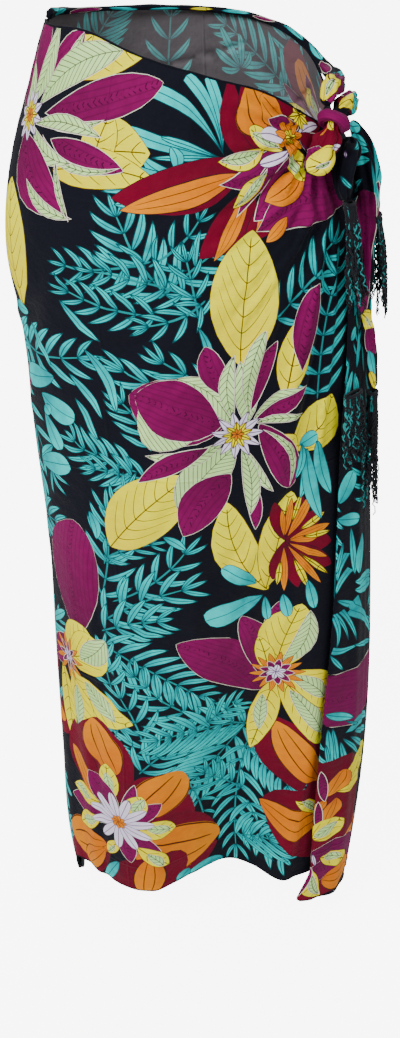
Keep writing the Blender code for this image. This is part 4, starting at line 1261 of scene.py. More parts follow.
@dataclass
class BackWrap:
    """The stretch round the back, which runs on under the front at both sides."""

    # Columns: angle, height.
    top: Table = ((-24, -0.060), (0, -0.052), (30, -0.026), (60, -0.007), (90, 0.0), (120, 0.002), (150, 0.006),
                  (180, 0.008), (197, 0.006))
    hem: Table = ((-24, -1.045), (0, -1.065), (40, -1.088), (90, -1.095), (140, -1.095), (165, -1.094),
                  (181, -1.089), (189, -1.068), (197, -1.036))
    # Columns: angle, how far the cloth lies in from the outline under the front.
    underlap: Table = ((-24, 0.0065), (12, 0.0065), (28, 0.0032), (44, 0.0), (171, 0.0), (175.5, 0.0014),
                       (179, 0.0027), (185, 0.0036), (191, 0.0056), (197, 0.0076))
    first: float = -24.0
    last: float = 197.0
    relief: Relief = Relief(folds=(
        (166, 160, 13, 0.009, -0.30, -0.85, -1.30),
        (140, 136, 12, -0.012, -0.28, -0.90, -1.30),
        (116, 114, 13, 0.012, -0.33, -0.90, -1.30),
        (90, 92, 11, -0.011, -0.30, -0.95, -1.30),
        (66, 70, 12, 0.013, -0.26, -0.85, -1.30),
        (44, 48, 10, -0.010, -0.30, -0.90, -1.30),
        (74, 40, 9, 0.004, -0.03, -0.10, -0.30),
        (114, 84, 10, 0.003, -0.03, -0.12, -0.30),
        (150, 120, 6, 0.0018, -0.04, -0.14, -0.28),
        (96, 60, 5, 0.0020, -0.05, -0.16, -0.34),
        (128, 126, 5, 0.0025, -0.50, -0.95, -1.30),
        (79, 81, 5, -0.0025, -0.45, -0.90, -1.30),
        (103, 102, 4, 0.0020, -0.60, -1.00, -1.30),
    ), pulls=(
        (28, -0.060, 92, -0.170, 0.012, 0.0026), (24, -0.080, 76, -0.300, 0.013, -0.0026),
        (20, -0.110, 52, -0.420, 0.012, 0.0028), (64, -0.030, 130, -0.090, 0.010, 0.0018),
        (110, -0.060, 160, -0.200, 0.014, 0.0020), (150, -0.250, 120, -0.520, 0.016, -0.0020),
        (60, -0.350, 84, -0.620, 0.016, 0.0020), (100, -0.420, 128, -0.760, 0.018, 0.0022),
    ))
    # Columns: kind of flower, metres along, height, reach, direction, fronds.
    blooms: Table = (
        (0, 0.520, -0.190, 0.125, 20, 7), (1, 0.330, -0.120, 0.100, 70, 6), (2, 0.690, -0.300, 0.105, 110, 6),
        (2, 0.350, -0.400, 0.110, 200, 6), (3, 0.500, -0.440, 0.068, 30, 5), (1, 0.560, -0.600, 0.130, 15, 7),
        (0, 0.370, -0.710, 0.130, 45, 7), (3, 0.700, -0.510, 0.062, 75, 5), (1, 0.700, -0.780, 0.100, 50, 5),
        (0, 0.550, -0.905, 0.120, 95, 6), (2, 0.355, -0.960, 0.100, 20, 5), (3, 0.690, -1.010, 0.066, 10, 4),
        (3, 0.640, -0.090, 0.060, 15, 4),
    )
    # Columns: metres along, height, length, direction.
    sprigs: Table = (
        (0.440, -0.060, 0.050, 60), (0.610, -0.400, 0.055, 250), (0.430, -0.560, 0.060, 130),
        (0.640, -0.690, 0.055, 300), (0.290, -0.560, 0.060, 80), (0.465, -0.800, 0.050, 40),
        (0.610, -1.060, 0.050, 200), (0.450, -1.040, 0.055, 120), (0.270, -0.260, 0.060, 260),
        (0.735, -0.900, 0.050, 100), (0.410, -0.280, 0.050, 330), (0.770, -0.160, 0.050, 180),
    )

    def surface(self, along: Array, height: Array) -> Array:
        """The outline of the figure with the folds laid on it."""
        angle = FIGURE.angle_at(along)
        return FIGURE.point(angle, height, self.relief.depth(angle, height) - read(self.underlap, angle))

    def build(self, finishes: Coats) -> list[bpy.types.Object]:
        """Make the printed cloth and its rolled hem."""
        angles = np.linspace(self.first, self.last, 150)
        border = border_of(flat_edge(angles, self.hem), flat_edge(angles, self.top))
        print_of = garden(self.blooms, self.sprigs, GARDEN_SEED)
        piece = Shell("back_cloth", border, self.surface, print_of, spacing=0.0080, steps=7).build(finishes)
        hang(piece, "back_cloth", "back_wrap")
        hem = rolled_hem("back_hem", border, self.surface, finishes[Ink.GROUND])
        hang(hem, "back_cloth", "back_wrap")
        return [piece, hem]


@dataclass
class SideCascade:
    """The loose end that hangs folded from below the knot to the floor."""

    # Columns: angle at the top, angle at the hem, stand-off at the top, stand-off at the hem, share of the tuck.
    turns: Table = (
        (-25, -17, 0.0017, 0.0050, 0), (-27.5, -23, 0.0017, 0.0052, 0.3), (-30, -29, 0.0018, 0.0054, 0.6),
        (-32.2, -34.5, 0.0021, 0.0056, 0.9), (-33.6, -37.2, 0.0027, 0.0066, 1), (-34.2, -38.3, 0.0042, 0.0092, 1),
        (-33.6, -37.6, 0.0057, 0.0122, 1), (-32.2, -35.2, 0.0064, 0.0140, 0.9), (-30.4, -30.5, 0.0068, 0.0158, 0.7),
        (-28.4, -24.5, 0.0068, 0.0172, 0.4), (-26.4, -17.5, 0.0068, 0.0176, 0.2), (-24.4, -10, 0.0067, 0.0168, 0),
        (-22.6, -2, 0.0065, 0.0140, 0), (-21, 6, 0.0050, 0.0105, 0), (-19.6, 13, 0.0032, 0.0066, 0),
        (-18.4, 18, 0.0017, 0.0030, 0),
    )
    hem: Table = ((0.0, -1.020), (0.2, -1.048), (0.45, -1.065), (0.72, -1.067), (0.88, -1.072), (1.0, -1.077))
    top: float = -0.210
    full_width: float = -0.480
    loose_from: float = -0.340
    loose_to: float = -0.950
    tuck_from: float = -1.000
    tuck_to: float = -1.067
    tuck_angle: float = -7.5
    tuck_in: float = -0.0030
    clear: float = 0.0005
    # Height at which the widths across the cloth are measured.
    measured_at: float = -0.80
    # Columns: height, degrees by which the fold swings over the front.
    swing: Table = ((-1.080, -3.0), (-1.030, -4.8), (-0.980, -6.0), (-0.750, -5.5), (-0.620, -2.5), (-0.450, 0.0))
    # Columns: metres across at the top, metres across at the hem, half width, depth outwards, start, full.
    creases: Table = (
        (0.086, 0.092, 0.014, 0.0030, -0.24, -0.60), (0.112, 0.128, 0.012, -0.0026, -0.30, -0.80),
        (0.138, 0.158, 0.013, 0.0032, -0.26, -0.90), (0.100, 0.076, 0.009, -0.0018, -0.60, -0.98),
        (0.165, 0.150, 0.010, 0.0020, -0.22, -0.45),
    )

    def rings(self) -> tuple[Array, Array]:
        """Metres across the flat cloth at each turn, and the turns."""
        turns = np.array(self.turns)
        points = FIGURE.point(turns[:, 1], np.full(len(turns), self.measured_at), turns[:, 3])
        gaps = np.linalg.norm(np.diff(points, axis=0), axis=1)
        return np.concatenate([[0.0], np.cumsum(gaps)]), turns

    def surface(self, across: Array, height: Array) -> Array:
        """The folded cloth with its creases."""
        keys, turns = self.rings()
        turn = [smooth(keys, turns[:, k], across) for k in range(5)]
        width = ease(self.top, self.full_width, height)
        loose = ease(self.loose_from, self.loose_to, height)
        tuck = ease(self.tuck_from, self.tuck_to, height) * turn[4]
        angle = turn[0] + (turn[1] - turn[0]) * width + self.tuck_angle * tuck + read(self.swing, height) * turn[4]
        stand_off = turn[2] + (turn[3] - turn[2]) * loose + self.tuck_in * tuck + self.clear
        for at_top, at_hem, half, out, start, full in self.creases:
            middle = at_top + (at_hem - at_top) * (height - self.top) / (self.tuck_to - self.top)
            stand_off = stand_off + out * bell(np.abs(across - middle) / half) * ease(start, full, height)
        return FIGURE.point(angle, height, stand_off)

    def build(self, finishes: Coats) -> list[bpy.types.Object]:
        """Make the printed cloth and its rolled hem."""
        keys, _ = self.rings()
        across = np.linspace(0.0, keys[-1], 60)
        hem = np.stack([across, read(self.hem, across / keys[-1])], -1)
        top = np.stack([across, np.full_like(across, self.top)], -1)
        border = border_of(hem, top)
        print_of = drawn(CASCADE_FRONDS, CASCADE_MOTIFS)
        piece = Shell("cascade_cloth", border, self.surface, print_of, spacing=0.0045).build(finishes)
        hang(piece, "cascade_cloth", "side_cascade")
        edging = rolled_hem("cascade_hem", border, self.surface, finishes[Ink.GROUND])
        hang(edging, "cascade_cloth", "side_cascade")
        return [piece, edging]


# Columns as in the front's tables. Only the fold's outer half shows from in front.
CASCADE_FRONDS = listed("""
    176 -262 152 -372 42 7 5 45; 188 -420 160 -318 36 6 -5; 164 -470 186 -585 44 7 6; 150 -598 190 -690 46 7 -6
    196 -800 158 -700 40 6; 160 -905 192 -990 44 7 6; 30 -280 18 -400 40 7; 12 -430 36 -560 44 7
    34 -600 14 -720 44 7 -5; 16 -760 34 -880 44 7; 30 -910 14 -1010 40 6; 110 -480 96 -380 34 6
    128 -372 150 -270 34 6 -5; 82 -300 100 -235 26 5
""", 5, 45)

CASCADE_MOTIFS = listed("""
    T 80 -309 91 -271 13; T 112 -321 105 -288 8; T 54 -326 57 -294 4; T 56 -339 66 -309 11; T 75 -313 76 -337 10
    T 59 -275 76 -264 13; T 89 -339 76 -317 10; T 60 -232 73 -210 13 10 0 50; T 74 -250 61 -217 13 -10 0 50
    T 55 -461 78 -429 27 0 62 110; T 54 -480 88 -492 17 0 62 110; T 75 -498 82 -562 9; T 97 -515 88 -563 21
    T 70 -528 57 -561 12 -12 0 50; T 76 -551 56 -577 14 -14 0 50; T 63 -512 55 -551 7; T 54 -503 54 -523 4
    T 138 -593 82 -571 16; T 139 -605 82 -582 16; T 58 -586 96 -613 9; T 80 -595 132 -655 18 -8 0 50
    T 76 -606 140 -683 16 6 0 50; T 64 -602 87 -654 8 6 0 50; T 56 -604 77 -649 7 6 0 50
    T 55 -609 61 -653 9 10 0 50; T 56 -654 89 -660 11 -10 0 50; T 54 -660 72 -688 6; T 53 -530 54 -584 3
    T 53 -524 53 -580 3; T 143 -695 83 -658 8; M 22 -712 182 -768 84 0 58 55; T 56 -745 89 -768 12
    T 86 -780 148 -816 18 8 0 50; T 92 -791 148 -836 10; T 65 -770 76 -837 8; T 60 -769 68 -831 9
    T 76 -797 87 -845 7; T 79 -794 109 -842 6; T 87 -796 132 -852 8; T 59 -791 65 -830 5; T 80 -768 103 -789 4
    R 56 -820 71 -1065 113 0 50 40; Y 75 -875 148 -862 55 6 50 148; O 85 -846 69 -880 32 8 50 148
    O 78 -889 64 -923 26 5 50 160; O 147 -975 85 -970 26 8 50 160; O 65 -883 53 -900 15 0 50 160
    M 57 -833 64 -886 11 0 50 148; M 57 -882 60 -938 10 0 50 172; M 54 -970 134 -1021 53 0 45 137
    M 55 -999 90 -1017 44 0 50 137; Y 54 -948 87 -928 44 4 50 160; P 55 -943 83 -936 19 4 50 172
    Y 64 -984 106 -1015 25 0 50 160; P 69 -986 91 -1001 13 0 50 172; O 74 -1030 115 -1034 52 -6 60 137
    Y 54 -1002 75 -1062 19 -6 50 160; P 57 -1011 78 -1057 9 -6 50 172; M 53 -1050 54 -999 9 0 50 148
    L 59 -997 55 -975 5 0 50 120
    # Where the loose end turns to the side and back.
    T 184 -250 172 -220 12 0 60 120; M 152 -838 196 -780 44 6 55 160; Y 158 -846 200 -862 26 5 55 160
    O 150 -870 182 -930 24 5 55 160; R 150 -1040 196 -1008 40 0 55 160; O 156 -1040 190 -1018 20 0 55 160
""", 0, 50, 130)


@dataclass
class Rope:
    """Bunched cloth along a centre line, pleated lengthwise and closed at both ends."""

    name: str
    node: str
    slot: str
    # Columns: x, y, z, half width, half depth, turn of the section in degrees.
    rows: Table
    # Columns: pleats round, depth as a share of the radius, phase in degrees, turns of the pleats in a metre.
    pleats: Table
    motifs: Table = ()
    spacing: float = 0.0022
    cap: float = 0.0040
    facing: Place = (0.35, -0.86, 0.36)
    stations: int = 240
    girth_share: float = 0.85
    at: Array = field(init=False)
    columns: Array = field(init=False)
    girth: float = field(init=False)

    def __post_init__(self) -> None:
        """Carry a frame along the centre line, as the solids do."""
        rows = np.array(self.rows, float)
        gaps = np.linalg.norm(np.diff(rows[:, :3], axis=0), axis=1)
        keys = np.concatenate([[0.0], np.cumsum(gaps)])
        self.at = np.linspace(0.0, keys[-1], self.stations)
        read_rows = np.stack([smooth(keys, rows[:, k], self.at) for k in range(6)], -1)
        along = np.gradient(read_rows[:, :3], axis=0)
        along /= np.linalg.norm(along, axis=1)[:, None]
        sides = [np.cross(along[0], (0.0, 0.0, 1.0))]
        for way in along:
            side = sides[-1] - way * (sides[-1] @ way)
            sides.append(side / np.linalg.norm(side))
        side = np.array(sides[1:])
        other = np.cross(along, side)
        face = np.unwrap(np.arctan2(other @ self.facing, side @ self.facing))
        self.girth = float(2 * math.pi * self.girth_share * rows[:, 3].max())
        self.columns = np.column_stack([read_rows, side, other, face])

    def surface(self, along: Array, around: Array) -> Array:
        """The pleated form; half the girth round lies on the side that faces out."""
        read_at = np.stack([np.interp(along, self.at, column) for column in self.columns.T], -1)
        centre, wide, deep = read_at[..., :3], read_at[..., 3], read_at[..., 4]
        turn, side, other, face = np.radians(read_at[..., 5]), read_at[..., 6:9], read_at[..., 9:12], read_at[..., 12]
        angle = face + math.pi - 2 * math.pi * around / self.girth
        radius = wide * deep / np.hypot(deep * np.cos(angle - turn), wide * np.sin(angle - turn))
        swell = np.ones_like(radius)
        for count, depth, phase, twist in self.pleats:
            swell = swell + depth * np.cos(count * angle + math.radians(phase) + 2 * math.pi * twist * along)
        from_end = np.minimum(along, self.at[-1] - along) / self.cap
        dome = np.sqrt(np.clip(1.0 - (1.0 - np.clip(from_end, 0.0, 1.0)) ** 2, 0.0, 1.0))
        radius = radius * swell * dome
        return centre + side * (radius * np.cos(angle))[..., None] + other * (radius * np.sin(angle))[..., None]

    def build(self, finishes: Coats) -> list[bpy.types.Object]:
        """Make the closed, printed form."""
        length = float(self.at[-1])
        along = np.linspace(0.0, length, int(length / self.spacing) + 2)
        low = np.stack([along, np.zeros_like(along)], -1)
        high = np.stack([along, np.full_like(along, self.girth)], -1)
        border = border_of(low, high, self.spacing)
        pattern = drawn((), self.motifs)
        piece = Shell(self.name, border, self.surface, pattern, self.spacing, steps=9, closed=True).build(finishes)
        hang(piece, self.slot, self.node)
        return [piece]


@dataclass
class KnotBand:
    """The closing turn of the knot, a pleated ring round the lobes."""

    centre: Place = (0.1324, -0.0791, -0.0595)
    before: Place = (0.1304, -0.0821, -0.0660)
    after: Place = (0.1364, -0.0726, -0.0550)
    ring: float = 0.0107
    half_width: float = 0.0056
    half_depth: float = 0.0044
    spacing: float = 0.0016
    # Dark streaks. Columns: share of the way round the ring, share of the way round its section.
    streaks: Table = ((0.14, 0.38), (0.39, 0.62), (0.64, 0.40), (0.86, 0.60))
    half_streak: float = 0.07

    def surface(self, along: Array, around: Array) -> Array:
        """The pleated ring, from metres round it and metres round its section."""
        axis = np.subtract(self.after, self.before)
        axis /= np.linalg.norm(axis)
        one = np.cross(axis, (0.0, 0.0, 1.0))
        one /= np.linalg.norm(one)
        two = np.cross(axis, one)
        turn = along / self.ring
        out = one * np.cos(turn)[..., None] + two * np.sin(turn)[..., None]
        angle = -around / (0.5 * (self.half_width + self.half_depth))
        swell = 1.0 + 0.10 * np.cos(5 * angle + 1.3 * np.sin(turn)) + 0.05 * np.cos(9 * angle + 2 * turn)
        swell = swell * (1.0 + 0.10 * np.sin(2 * turn + 0.6))
        return (np.array(self.centre) + out * (self.ring + self.half_depth * swell * np.cos(angle))[..., None]
                + axis * (self.half_width * swell * np.sin(angle))[..., None])

    def build(self, finishes: Coats) -> list[bpy.types.Object]:
        """Make the closed, printed ring."""
        length = 2 * math.pi * self.ring
        girth = math.pi * (self.half_width + self.half_depth)
        along = np.linspace(0.0, length, int(length / self.spacing) + 1)
        low = np.stack([along, np.zeros_like(along)], -1)
        border = border_of(low, low + (0.0, girth), self.spacing)
        pattern = Pattern()
        pattern.shape(Ink.MAGENTA, (-length, girth * 0.5), (2 * length, girth * 0.5), girth * 8, 0.0, 0.5, 0.5)
        for share, level in self.streaks:
            start, end = length * (share - self.half_streak), length * (share + self.half_streak)
            pattern.shape(Ink.CRIMSON, (start, girth * level), (end, girth * level), girth * 0.20, 0.1, 0.5, 1.5)
        piece = Shell("knot_band_cloth", border, self.surface, pattern, self.spacing, steps=9, closed=True)
        made = piece.build(finishes)
        hang(made, "knot_cloth", "knot_band")
        return [made]


@dataclass
class Fringe:
    """One clump of the cloth's crinkled fringe."""

    name: str
    node: str
    angle: float
    height: float
    stand_off: float
    half_along: float
    half_out: float
    first: float
    last: float
    count: int
    length: float
    spread: float
    lean_along: float
    lean_out: float
    yarns: int = 4
    stations: int = 50
    root: float = 0.00090
    tip: float = 0.00062
    sides: int = 5
    backing: float = 0.0034
    edge_radius: float = 0.0017
    edge_sides: int = 8
    edge_stations: int = 48
    # Least and greatest size of a yarn's curls, and how many they are in a yarn 90 mm long.
    curls: tuple[float, float] = (0.0009, 0.0023)
    paces: tuple[float, float] = (5.0, 8.5)

    def build(self, finishes: Coats) -> list[bpy.types.Object]:
        """Make the yarns and the whipped edge that they hang from."""
        chance = np.random.default_rng(int(-1e4 * self.height))
        total = self.count * self.yarns
        strand = np.repeat(np.arange(self.count), self.yarns)
        aside = np.tile(np.linspace(-0.30, 0.30, self.yarns), self.count) + chance.uniform(-0.08, 0.08, total)
        turn = np.radians(self.first + (self.last - self.first) * (strand + 0.5 + aside) / self.count)[:, None]
        own = self.length * (1.0 + 0.14 * np.sin(2.4 * strand) - 0.10 * np.cos(1.1 * strand))
        own = (own * chance.uniform(0.84, 1.04, total))[:, None]
        step = np.linspace(0.0, 1.0, self.stations)[None]
        grown = 1.0 + self.spread * step * chance.uniform(0.7, 1.1, total)[:, None]
        free = ease(0.03, 0.35, step)
        pace = chance.uniform(*self.paces, total)[:, None] * own / 0.09
        begin = chance.uniform(0.0, 2 * np.pi, total)[:, None]
        curl = chance.uniform(*self.curls, total)[:, None] * free
        sway = 0.0024 * np.sin(5.0 * step + begin) * step
        along = self.half_along * grown * np.cos(turn) + self.lean_along * step + 0.0020 * np.sin(7.0 * step) * step
        along = along + sway + curl * np.sin(2 * np.pi * pace * step + begin)
        out = self.half_out * np.sin(turn) + self.lean_out * step
        out = np.where(out > 0, out * grown, out) + np.abs(curl * np.cos(2 * np.pi * pace * step + begin))
        level = self.height - self.backing * 0.6 - own * step
        paths = FIGURE.point(self.angle + along / METRES_PER_DEGREE, level, self.stand_off + out)
        radii = (self.root + (self.tip - self.root) * step) * (1.0 + 1.1 * bell(np.abs(step - 0.045) / 0.022))
        radii = radii * (1.0 + 0.12 * np.sin(2 * np.pi * 40 * step + begin))
        points, faces = tubes(paths, np.broadcast_to(radii, paths.shape[:2]), self.sides, False)
        edge_points, edge_faces = self.whipping()
        offset = len(points)
        faces += [[corner + offset for corner in face] for face in edge_faces]
        points = np.concatenate([points, edge_points])
        piece = self.mesh(points, faces, total, chance, finishes)
        hang(piece, "fringe_yarn", self.node)
        return [piece]

    def whipping(self) -> tuple[Array, list[list[int]]]:
        """The bound edge of the cloth that the yarns come out of."""
        closed = self.last - self.first >= 360
        turn = np.radians(np.linspace(self.first, self.last, self.edge_stations, endpoint=not closed))
        where = self.angle + self.half_along * np.cos(turn) / METRES_PER_DEGREE
        level = np.full_like(turn, self.height - self.backing * 0.5)
        path = FIGURE.point(where, level, self.stand_off + self.half_out * np.sin(turn))
        radii = self.edge_radius * (1.0 + 0.12 * np.sin(turn * 21))
        return tubes(path[None], radii[None], self.edge_sides, closed)

    def mesh(self, points: Array, faces: list[list[int]], total: int, chance: np.random.Generator,
             finishes: Coats) -> bpy.types.Object:
        """Make the mesh, with a cell of the flat map for each yarn."""
        sides = self.sides
        yarn_points = total * self.stations * sides
        counts = np.array(list(map(len, faces)))
        owner = np.repeat(np.arange(len(faces)), counts)
        corners = np.fromiter(chain.from_iterable(faces), int)
        yarn = np.minimum(corners // (self.stations * sides), total)
        station = corners // sides % self.stations
        around = corners % sides
        start = np.concatenate([[0], np.cumsum(counts)[:-1]])
        around = np.where((around == 0) & (around[start][owner] == sides - 1), sides, around)
        extra = corners >= yarn_points
        number = corners - yarn_points
        u = (yarn + 0.05 + 0.9 * around / sides) / (total + 2)
        v = station / (self.stations - 1)
        u = np.where(extra, (total + 0.1 + 1.7 * (number % self.edge_sides) / self.edge_sides) / (total + 2), u)
        v = np.where(extra, number // self.edge_sides / self.edge_stations, v)
        bake = mapped(np.stack([u, v], -1))
        shades = np.append(chance.uniform(0.0, 1.0, total), 0.1)
        motif = np.stack([shades[yarn], v], -1)
        cloth = np.stack([around * 0.0009, v * self.length], -1)
        return make_mesh(self.name, points, faces, None, None, {"OFBake": bake, "Cloth": cloth, "Motif": motif},
                         [finishes[-1]])


DARK_YARN = (0.006, 0.007, 0.012)
AQUA_YARN = (0.012, 0.30, 0.30)
# Shares of the yarns, and of a yarn's patches, above which it is aqua.
AQUA_FROM = 0.66
AQUA_PATCH = 0.47
PLIES_ALONG = 420.0


def yarn_coat() -> bpy.types.Material:
    """Dark crinkled yarn, some of it aqua for part of its length."""
    n = Nodes("fringe_yarn")
    shade, along = n.split(n.uv("Motif"))
    cloth = n.uv("Cloth")
    patch = n.noise(n.stretch(n.uv("Motif"), (9.0, 3.0, 1.0)), 1.0, 1.0)
    aqua = n.times(n.math("GREATER_THAN", shade, AQUA_FROM), n.math("GREATER_THAN", patch, AQUA_PATCH))
    colour = n.mix(aqua, DARK_YARN, AQUA_YARN)
    ply = n.math("SINE", n.times(along, PLIES_ALONG))
    # Painted highlight and shade: the yarn's colour is lighter on the crowns of its ply twist and darker in the
    # grooves, over the bump of the same twist.
    colour = n.brighten(colour, n.math("ADD", 0.95, n.times(ply, 0.25)))
    n.give("Base Color", colour)
    n.give("Roughness", 0.80)
    n.give("Specular IOR Level", 0.20)
    n.give("Sheen Weight", 0.08)
    height = n.math("ADD", n.times(ply, 0.5), n.noise(cloth, 900.0, 2.0))
    n.give("Normal", n.bump(height, 0.0003))
    return n.material


def roll_rows() -> list[tuple[float, ...]]:
    """Rows of the rolled upper edge of the back, from the right side round to the knot."""
    # Columns: angle, height, stand-off, half height, half depth, turn.
    rows = np.array((
        (176, 0.0145, -0.0010, 0.0046, 0.0036, 0), (162, 0.0121, -0.0010, 0.0046, 0.0036, 70),
        (145, 0.0079, -0.0010, 0.0028, 0.0024, 150), (125, 0.0051, -0.0010, 0.0027, 0.0022, 260),
        (105, 0.0035, -0.0010, 0.0027, 0.0022, 370), (85, 0.0017, -0.0010, 0.0027, 0.0022, 480),
        (65, -0.0025, -0.0010, 0.0028, 0.0024, 590), (45, -0.0117, -0.0014, 0.0036, 0.0028, 690),
        (27, -0.0229, -0.0030, 0.0048, 0.0036, 770), (10, -0.0358, -0.0015, 0.0062, 0.0046, 840),
        (-5, -0.0398, 0.0045, 0.0082, 0.0064, 890), (-18, -0.0363, 0.0090, 0.0094, 0.0076, 940),
        (-27, -0.0333, 0.0115, 0.0090, 0.0074, 970), (-31.5, -0.0388, 0.0125, 0.0074, 0.0062, 1000),
        (-34.5, -0.0463, 0.0120, 0.0042, 0.0040, 1030),
    ))
    centre = FIGURE.point(rows[:, 0], rows[:, 1], rows[:, 2])
    return np.column_stack([centre, rows[:, 4], rows[:, 3], rows[:, 5]]).tolist()


KNOT_LOBES = (
    (0.1062, -0.1021, -0.0980, 0.0045, 0.0040, 0), (0.1116, -0.1013, -0.0940, 0.0100, 0.0080, 15),
    (0.1189, -0.0988, -0.0885, 0.0132, 0.0105, 30), (0.1237, -0.0923, -0.0810, 0.0112, 0.0092, 40),
    (0.1282, -0.0866, -0.0727, 0.0120, 0.0100, 50), (0.1304, -0.0821, -0.0660, 0.0064, 0.0060, 60),
    (0.1324, -0.0791, -0.0595, 0.0050, 0.0050, 70), (0.1364, -0.0726, -0.0550, 0.0056, 0.0054, 85),
    (0.1427, -0.0616, -0.0505, 0.0096, 0.0085, 105), (0.1489, -0.0516, -0.0495, 0.0096, 0.0084, 125),
    (0.1539, -0.0416, -0.0495, 0.0048, 0.0042, 140),
)
FRONT_TAIL = (
    (0.1488, -0.0564, -0.0798, 0.0050, 0.0046, 0), (0.1496, -0.0619, -0.0878, 0.0096, 0.0080, 20),
    (0.1461, -0.0732, -0.0958, 0.0115, 0.0096, 50), (0.1431, -0.0824, -0.1068, 0.0112, 0.0094, 80),
    (0.1444, -0.0834, -0.1203, 0.0088, 0.0076, 110), (0.1468, -0.0829, -0.1318, 0.0050, 0.0046, 130),
)
BACK_TAIL = (
    (0.1547, -0.0200, -0.0760, 0.0045, 0.0040, 0), (0.1627, -0.0220, -0.0900, 0.0085, 0.0065, 15),
    (0.1677, -0.0250, -0.1030, 0.0115, 0.0090, 30), (0.1697, -0.0310, -0.1190, 0.0125, 0.0100, 50),
    (0.1715, -0.0400, -0.1370, 0.0125, 0.0098, 70), (0.1723, -0.0508, -0.1578, 0.0112, 0.0090, 90),
    (0.1707, -0.0630, -0.1788, 0.0090, 0.0080, 120), (0.1696, -0.0785, -0.2025, 0.0092, 0.0080, 160),
    (0.1704, -0.0790, -0.2312, 0.0074, 0.0066, 200), (0.1755, -0.0722, -0.2558, 0.0056, 0.0050, 250),
    (0.1808, -0.0675, -0.2817, 0.0062, 0.0054, 310), (0.1857, -0.0603, -0.3129, 0.0055, 0.0050, 380),
    (0.1892, -0.0545, -0.3417, 0.0042, 0.0040, 440),
)
ROLL_MOTIFS = listed("""
    M 396 22 440 26 34 0 50 40; Y 440 12 414 19 20 6 50 120; P 436 15 420 18 6; O 428 30 440 34 8 0 50 140
    T 366 10 398 24 12 10; T 372 28 400 14 9; M 332 16 360 12 12; T 304 22 332 18 12; T 268 24 299 18 9
    M 236 18 260 22 9; T 204 18 233 22 11; Y 172 16 196 20 8; T 132 13 163 17 9; T 91 20 122 14 9
    M 44 15 84 18 14 0 50 140; T 4 28 34 15 10 0 50 140; T 12 12 40 24 9
""", 0, 50, 150)
LOBE_MOTIFS = listed("""
    R 12 34 62 36 66 0 50 25; M 2 42 24 52 20 0 50 90; M 40 14 58 18 14 0 50 110; Y 30 29 2 38 28 6 52 90
    P 8 34 18 30 5; Y 56 52 44 37 11; L 30 33 34 22 7; O 46 46 36 52 8; R 70 36 98 40 40 0 50 40
    Y 66 46 90 18 19 8 50 120; T 88 46 78 12 9 0 50 120; M 76 52 92 44 10 0 50 130
""", 0, 50, 150)
FRONT_TAIL_MOTIFS = listed("""
    L 23 24 29 26 3 0 50 130; T 40 24 52 36 5; T 30 44 50 50 6; T 4 40 20 30 5
""", 0, 50, 150)
BACK_TAIL_MOTIFS = listed("""
    T 2 16 8 40 14 0 45 120; T 13 14 27 34 12 10 45 140; T 28 14 32 34 10 8 45 140; T 42 14 40 33 11 6 45 140
    T 70 11 58 25 6; T 12 44 88 36 9 6 60 130; T 40 34 90 33 5 6; T 76 12 70 32 6; M 60 45 108 42 9 0 50 130
    M 68 25 186 27 27 0 50 30; M 120 50 170 52 9 0 50 120; T 108 42 138 41 5; T 173 44 200 37 7 0 50 140
    Y 186 22 212 38 30 0 50 70; P 192 26 206 34 6; M 208 34 240 30 32 0 50 50; T 234 24 270 32 18 0 50 90
    Y 262 22 284 36 16 0 50 90
""", 0, 50, 150)


def bunches() -> list[Rope]:
    """The rolled edge, the knot's lobes and the two tails."""
    return [
        Rope("waist_roll", "back_waist_roll", "roll_cloth", roll_rows(),
             ((5, 0.11, 0, 9.0), (9, 0.06, 40, 14.0), (2, 0.08, 90, 31.0)), ROLL_MOTIFS, spacing=0.0018),
        Rope("knot_lobe_cloth", "knot_lobes", "knot_cloth", KNOT_LOBES,
             ((7, 0.09, 20, 5.0), (12, 0.05, 75, -9.0), (3, 0.10, 150, 22.0), (2, 0.05, 30, 45.0)), LOBE_MOTIFS,
             spacing=0.0014),
        Rope("front_tail_cloth", "front_tail", "tail_cloth", FRONT_TAIL,
             ((6, 0.12, 0, 6.0), (10, 0.05, 30, -9.0), (3, 0.07, 80, 26.0)), FRONT_TAIL_MOTIFS, spacing=0.0016),
        Rope("back_tail_cloth", "back_tail", "tail_cloth", BACK_TAIL,
             ((5, 0.13, 60, 9.0), (9, 0.06, 10, 15.0), (2, 0.07, 0, 31.0)), BACK_TAIL_MOTIFS, spacing=0.0018),
    ]


def fringes() -> list[Fringe]:
    """The four clumps of fringe."""
    return [
        Fringe("front_tail_yarn", "front_tail_fringe", -34.0, -0.1327, 0.0160, 0.0052, 0.0046, 0, 360, 14, 0.092,
               0.60, -0.010, 0.004),
        Fringe("back_tail_yarn", "back_tail_fringe", -20.0, -0.3429, 0.0150, 0.0055, 0.0045, 0, 360, 14, 0.125,
               0.90, -0.004, 0.000),
        Fringe("upper_side_yarn", "upper_side_fringe", -18.5, -0.1560, 0.0120, 0.0148, 0.0128, -30, 120, 14, 0.095,
               0.02, 0.001, -0.002),
        Fringe("lower_side_yarn", "lower_side_fringe", -33.5, -0.3310, 0.0120, 0.0120, 0.0034, 0, 360, 20, 0.072,
               0.30, 0.002, 0.003),
    ]


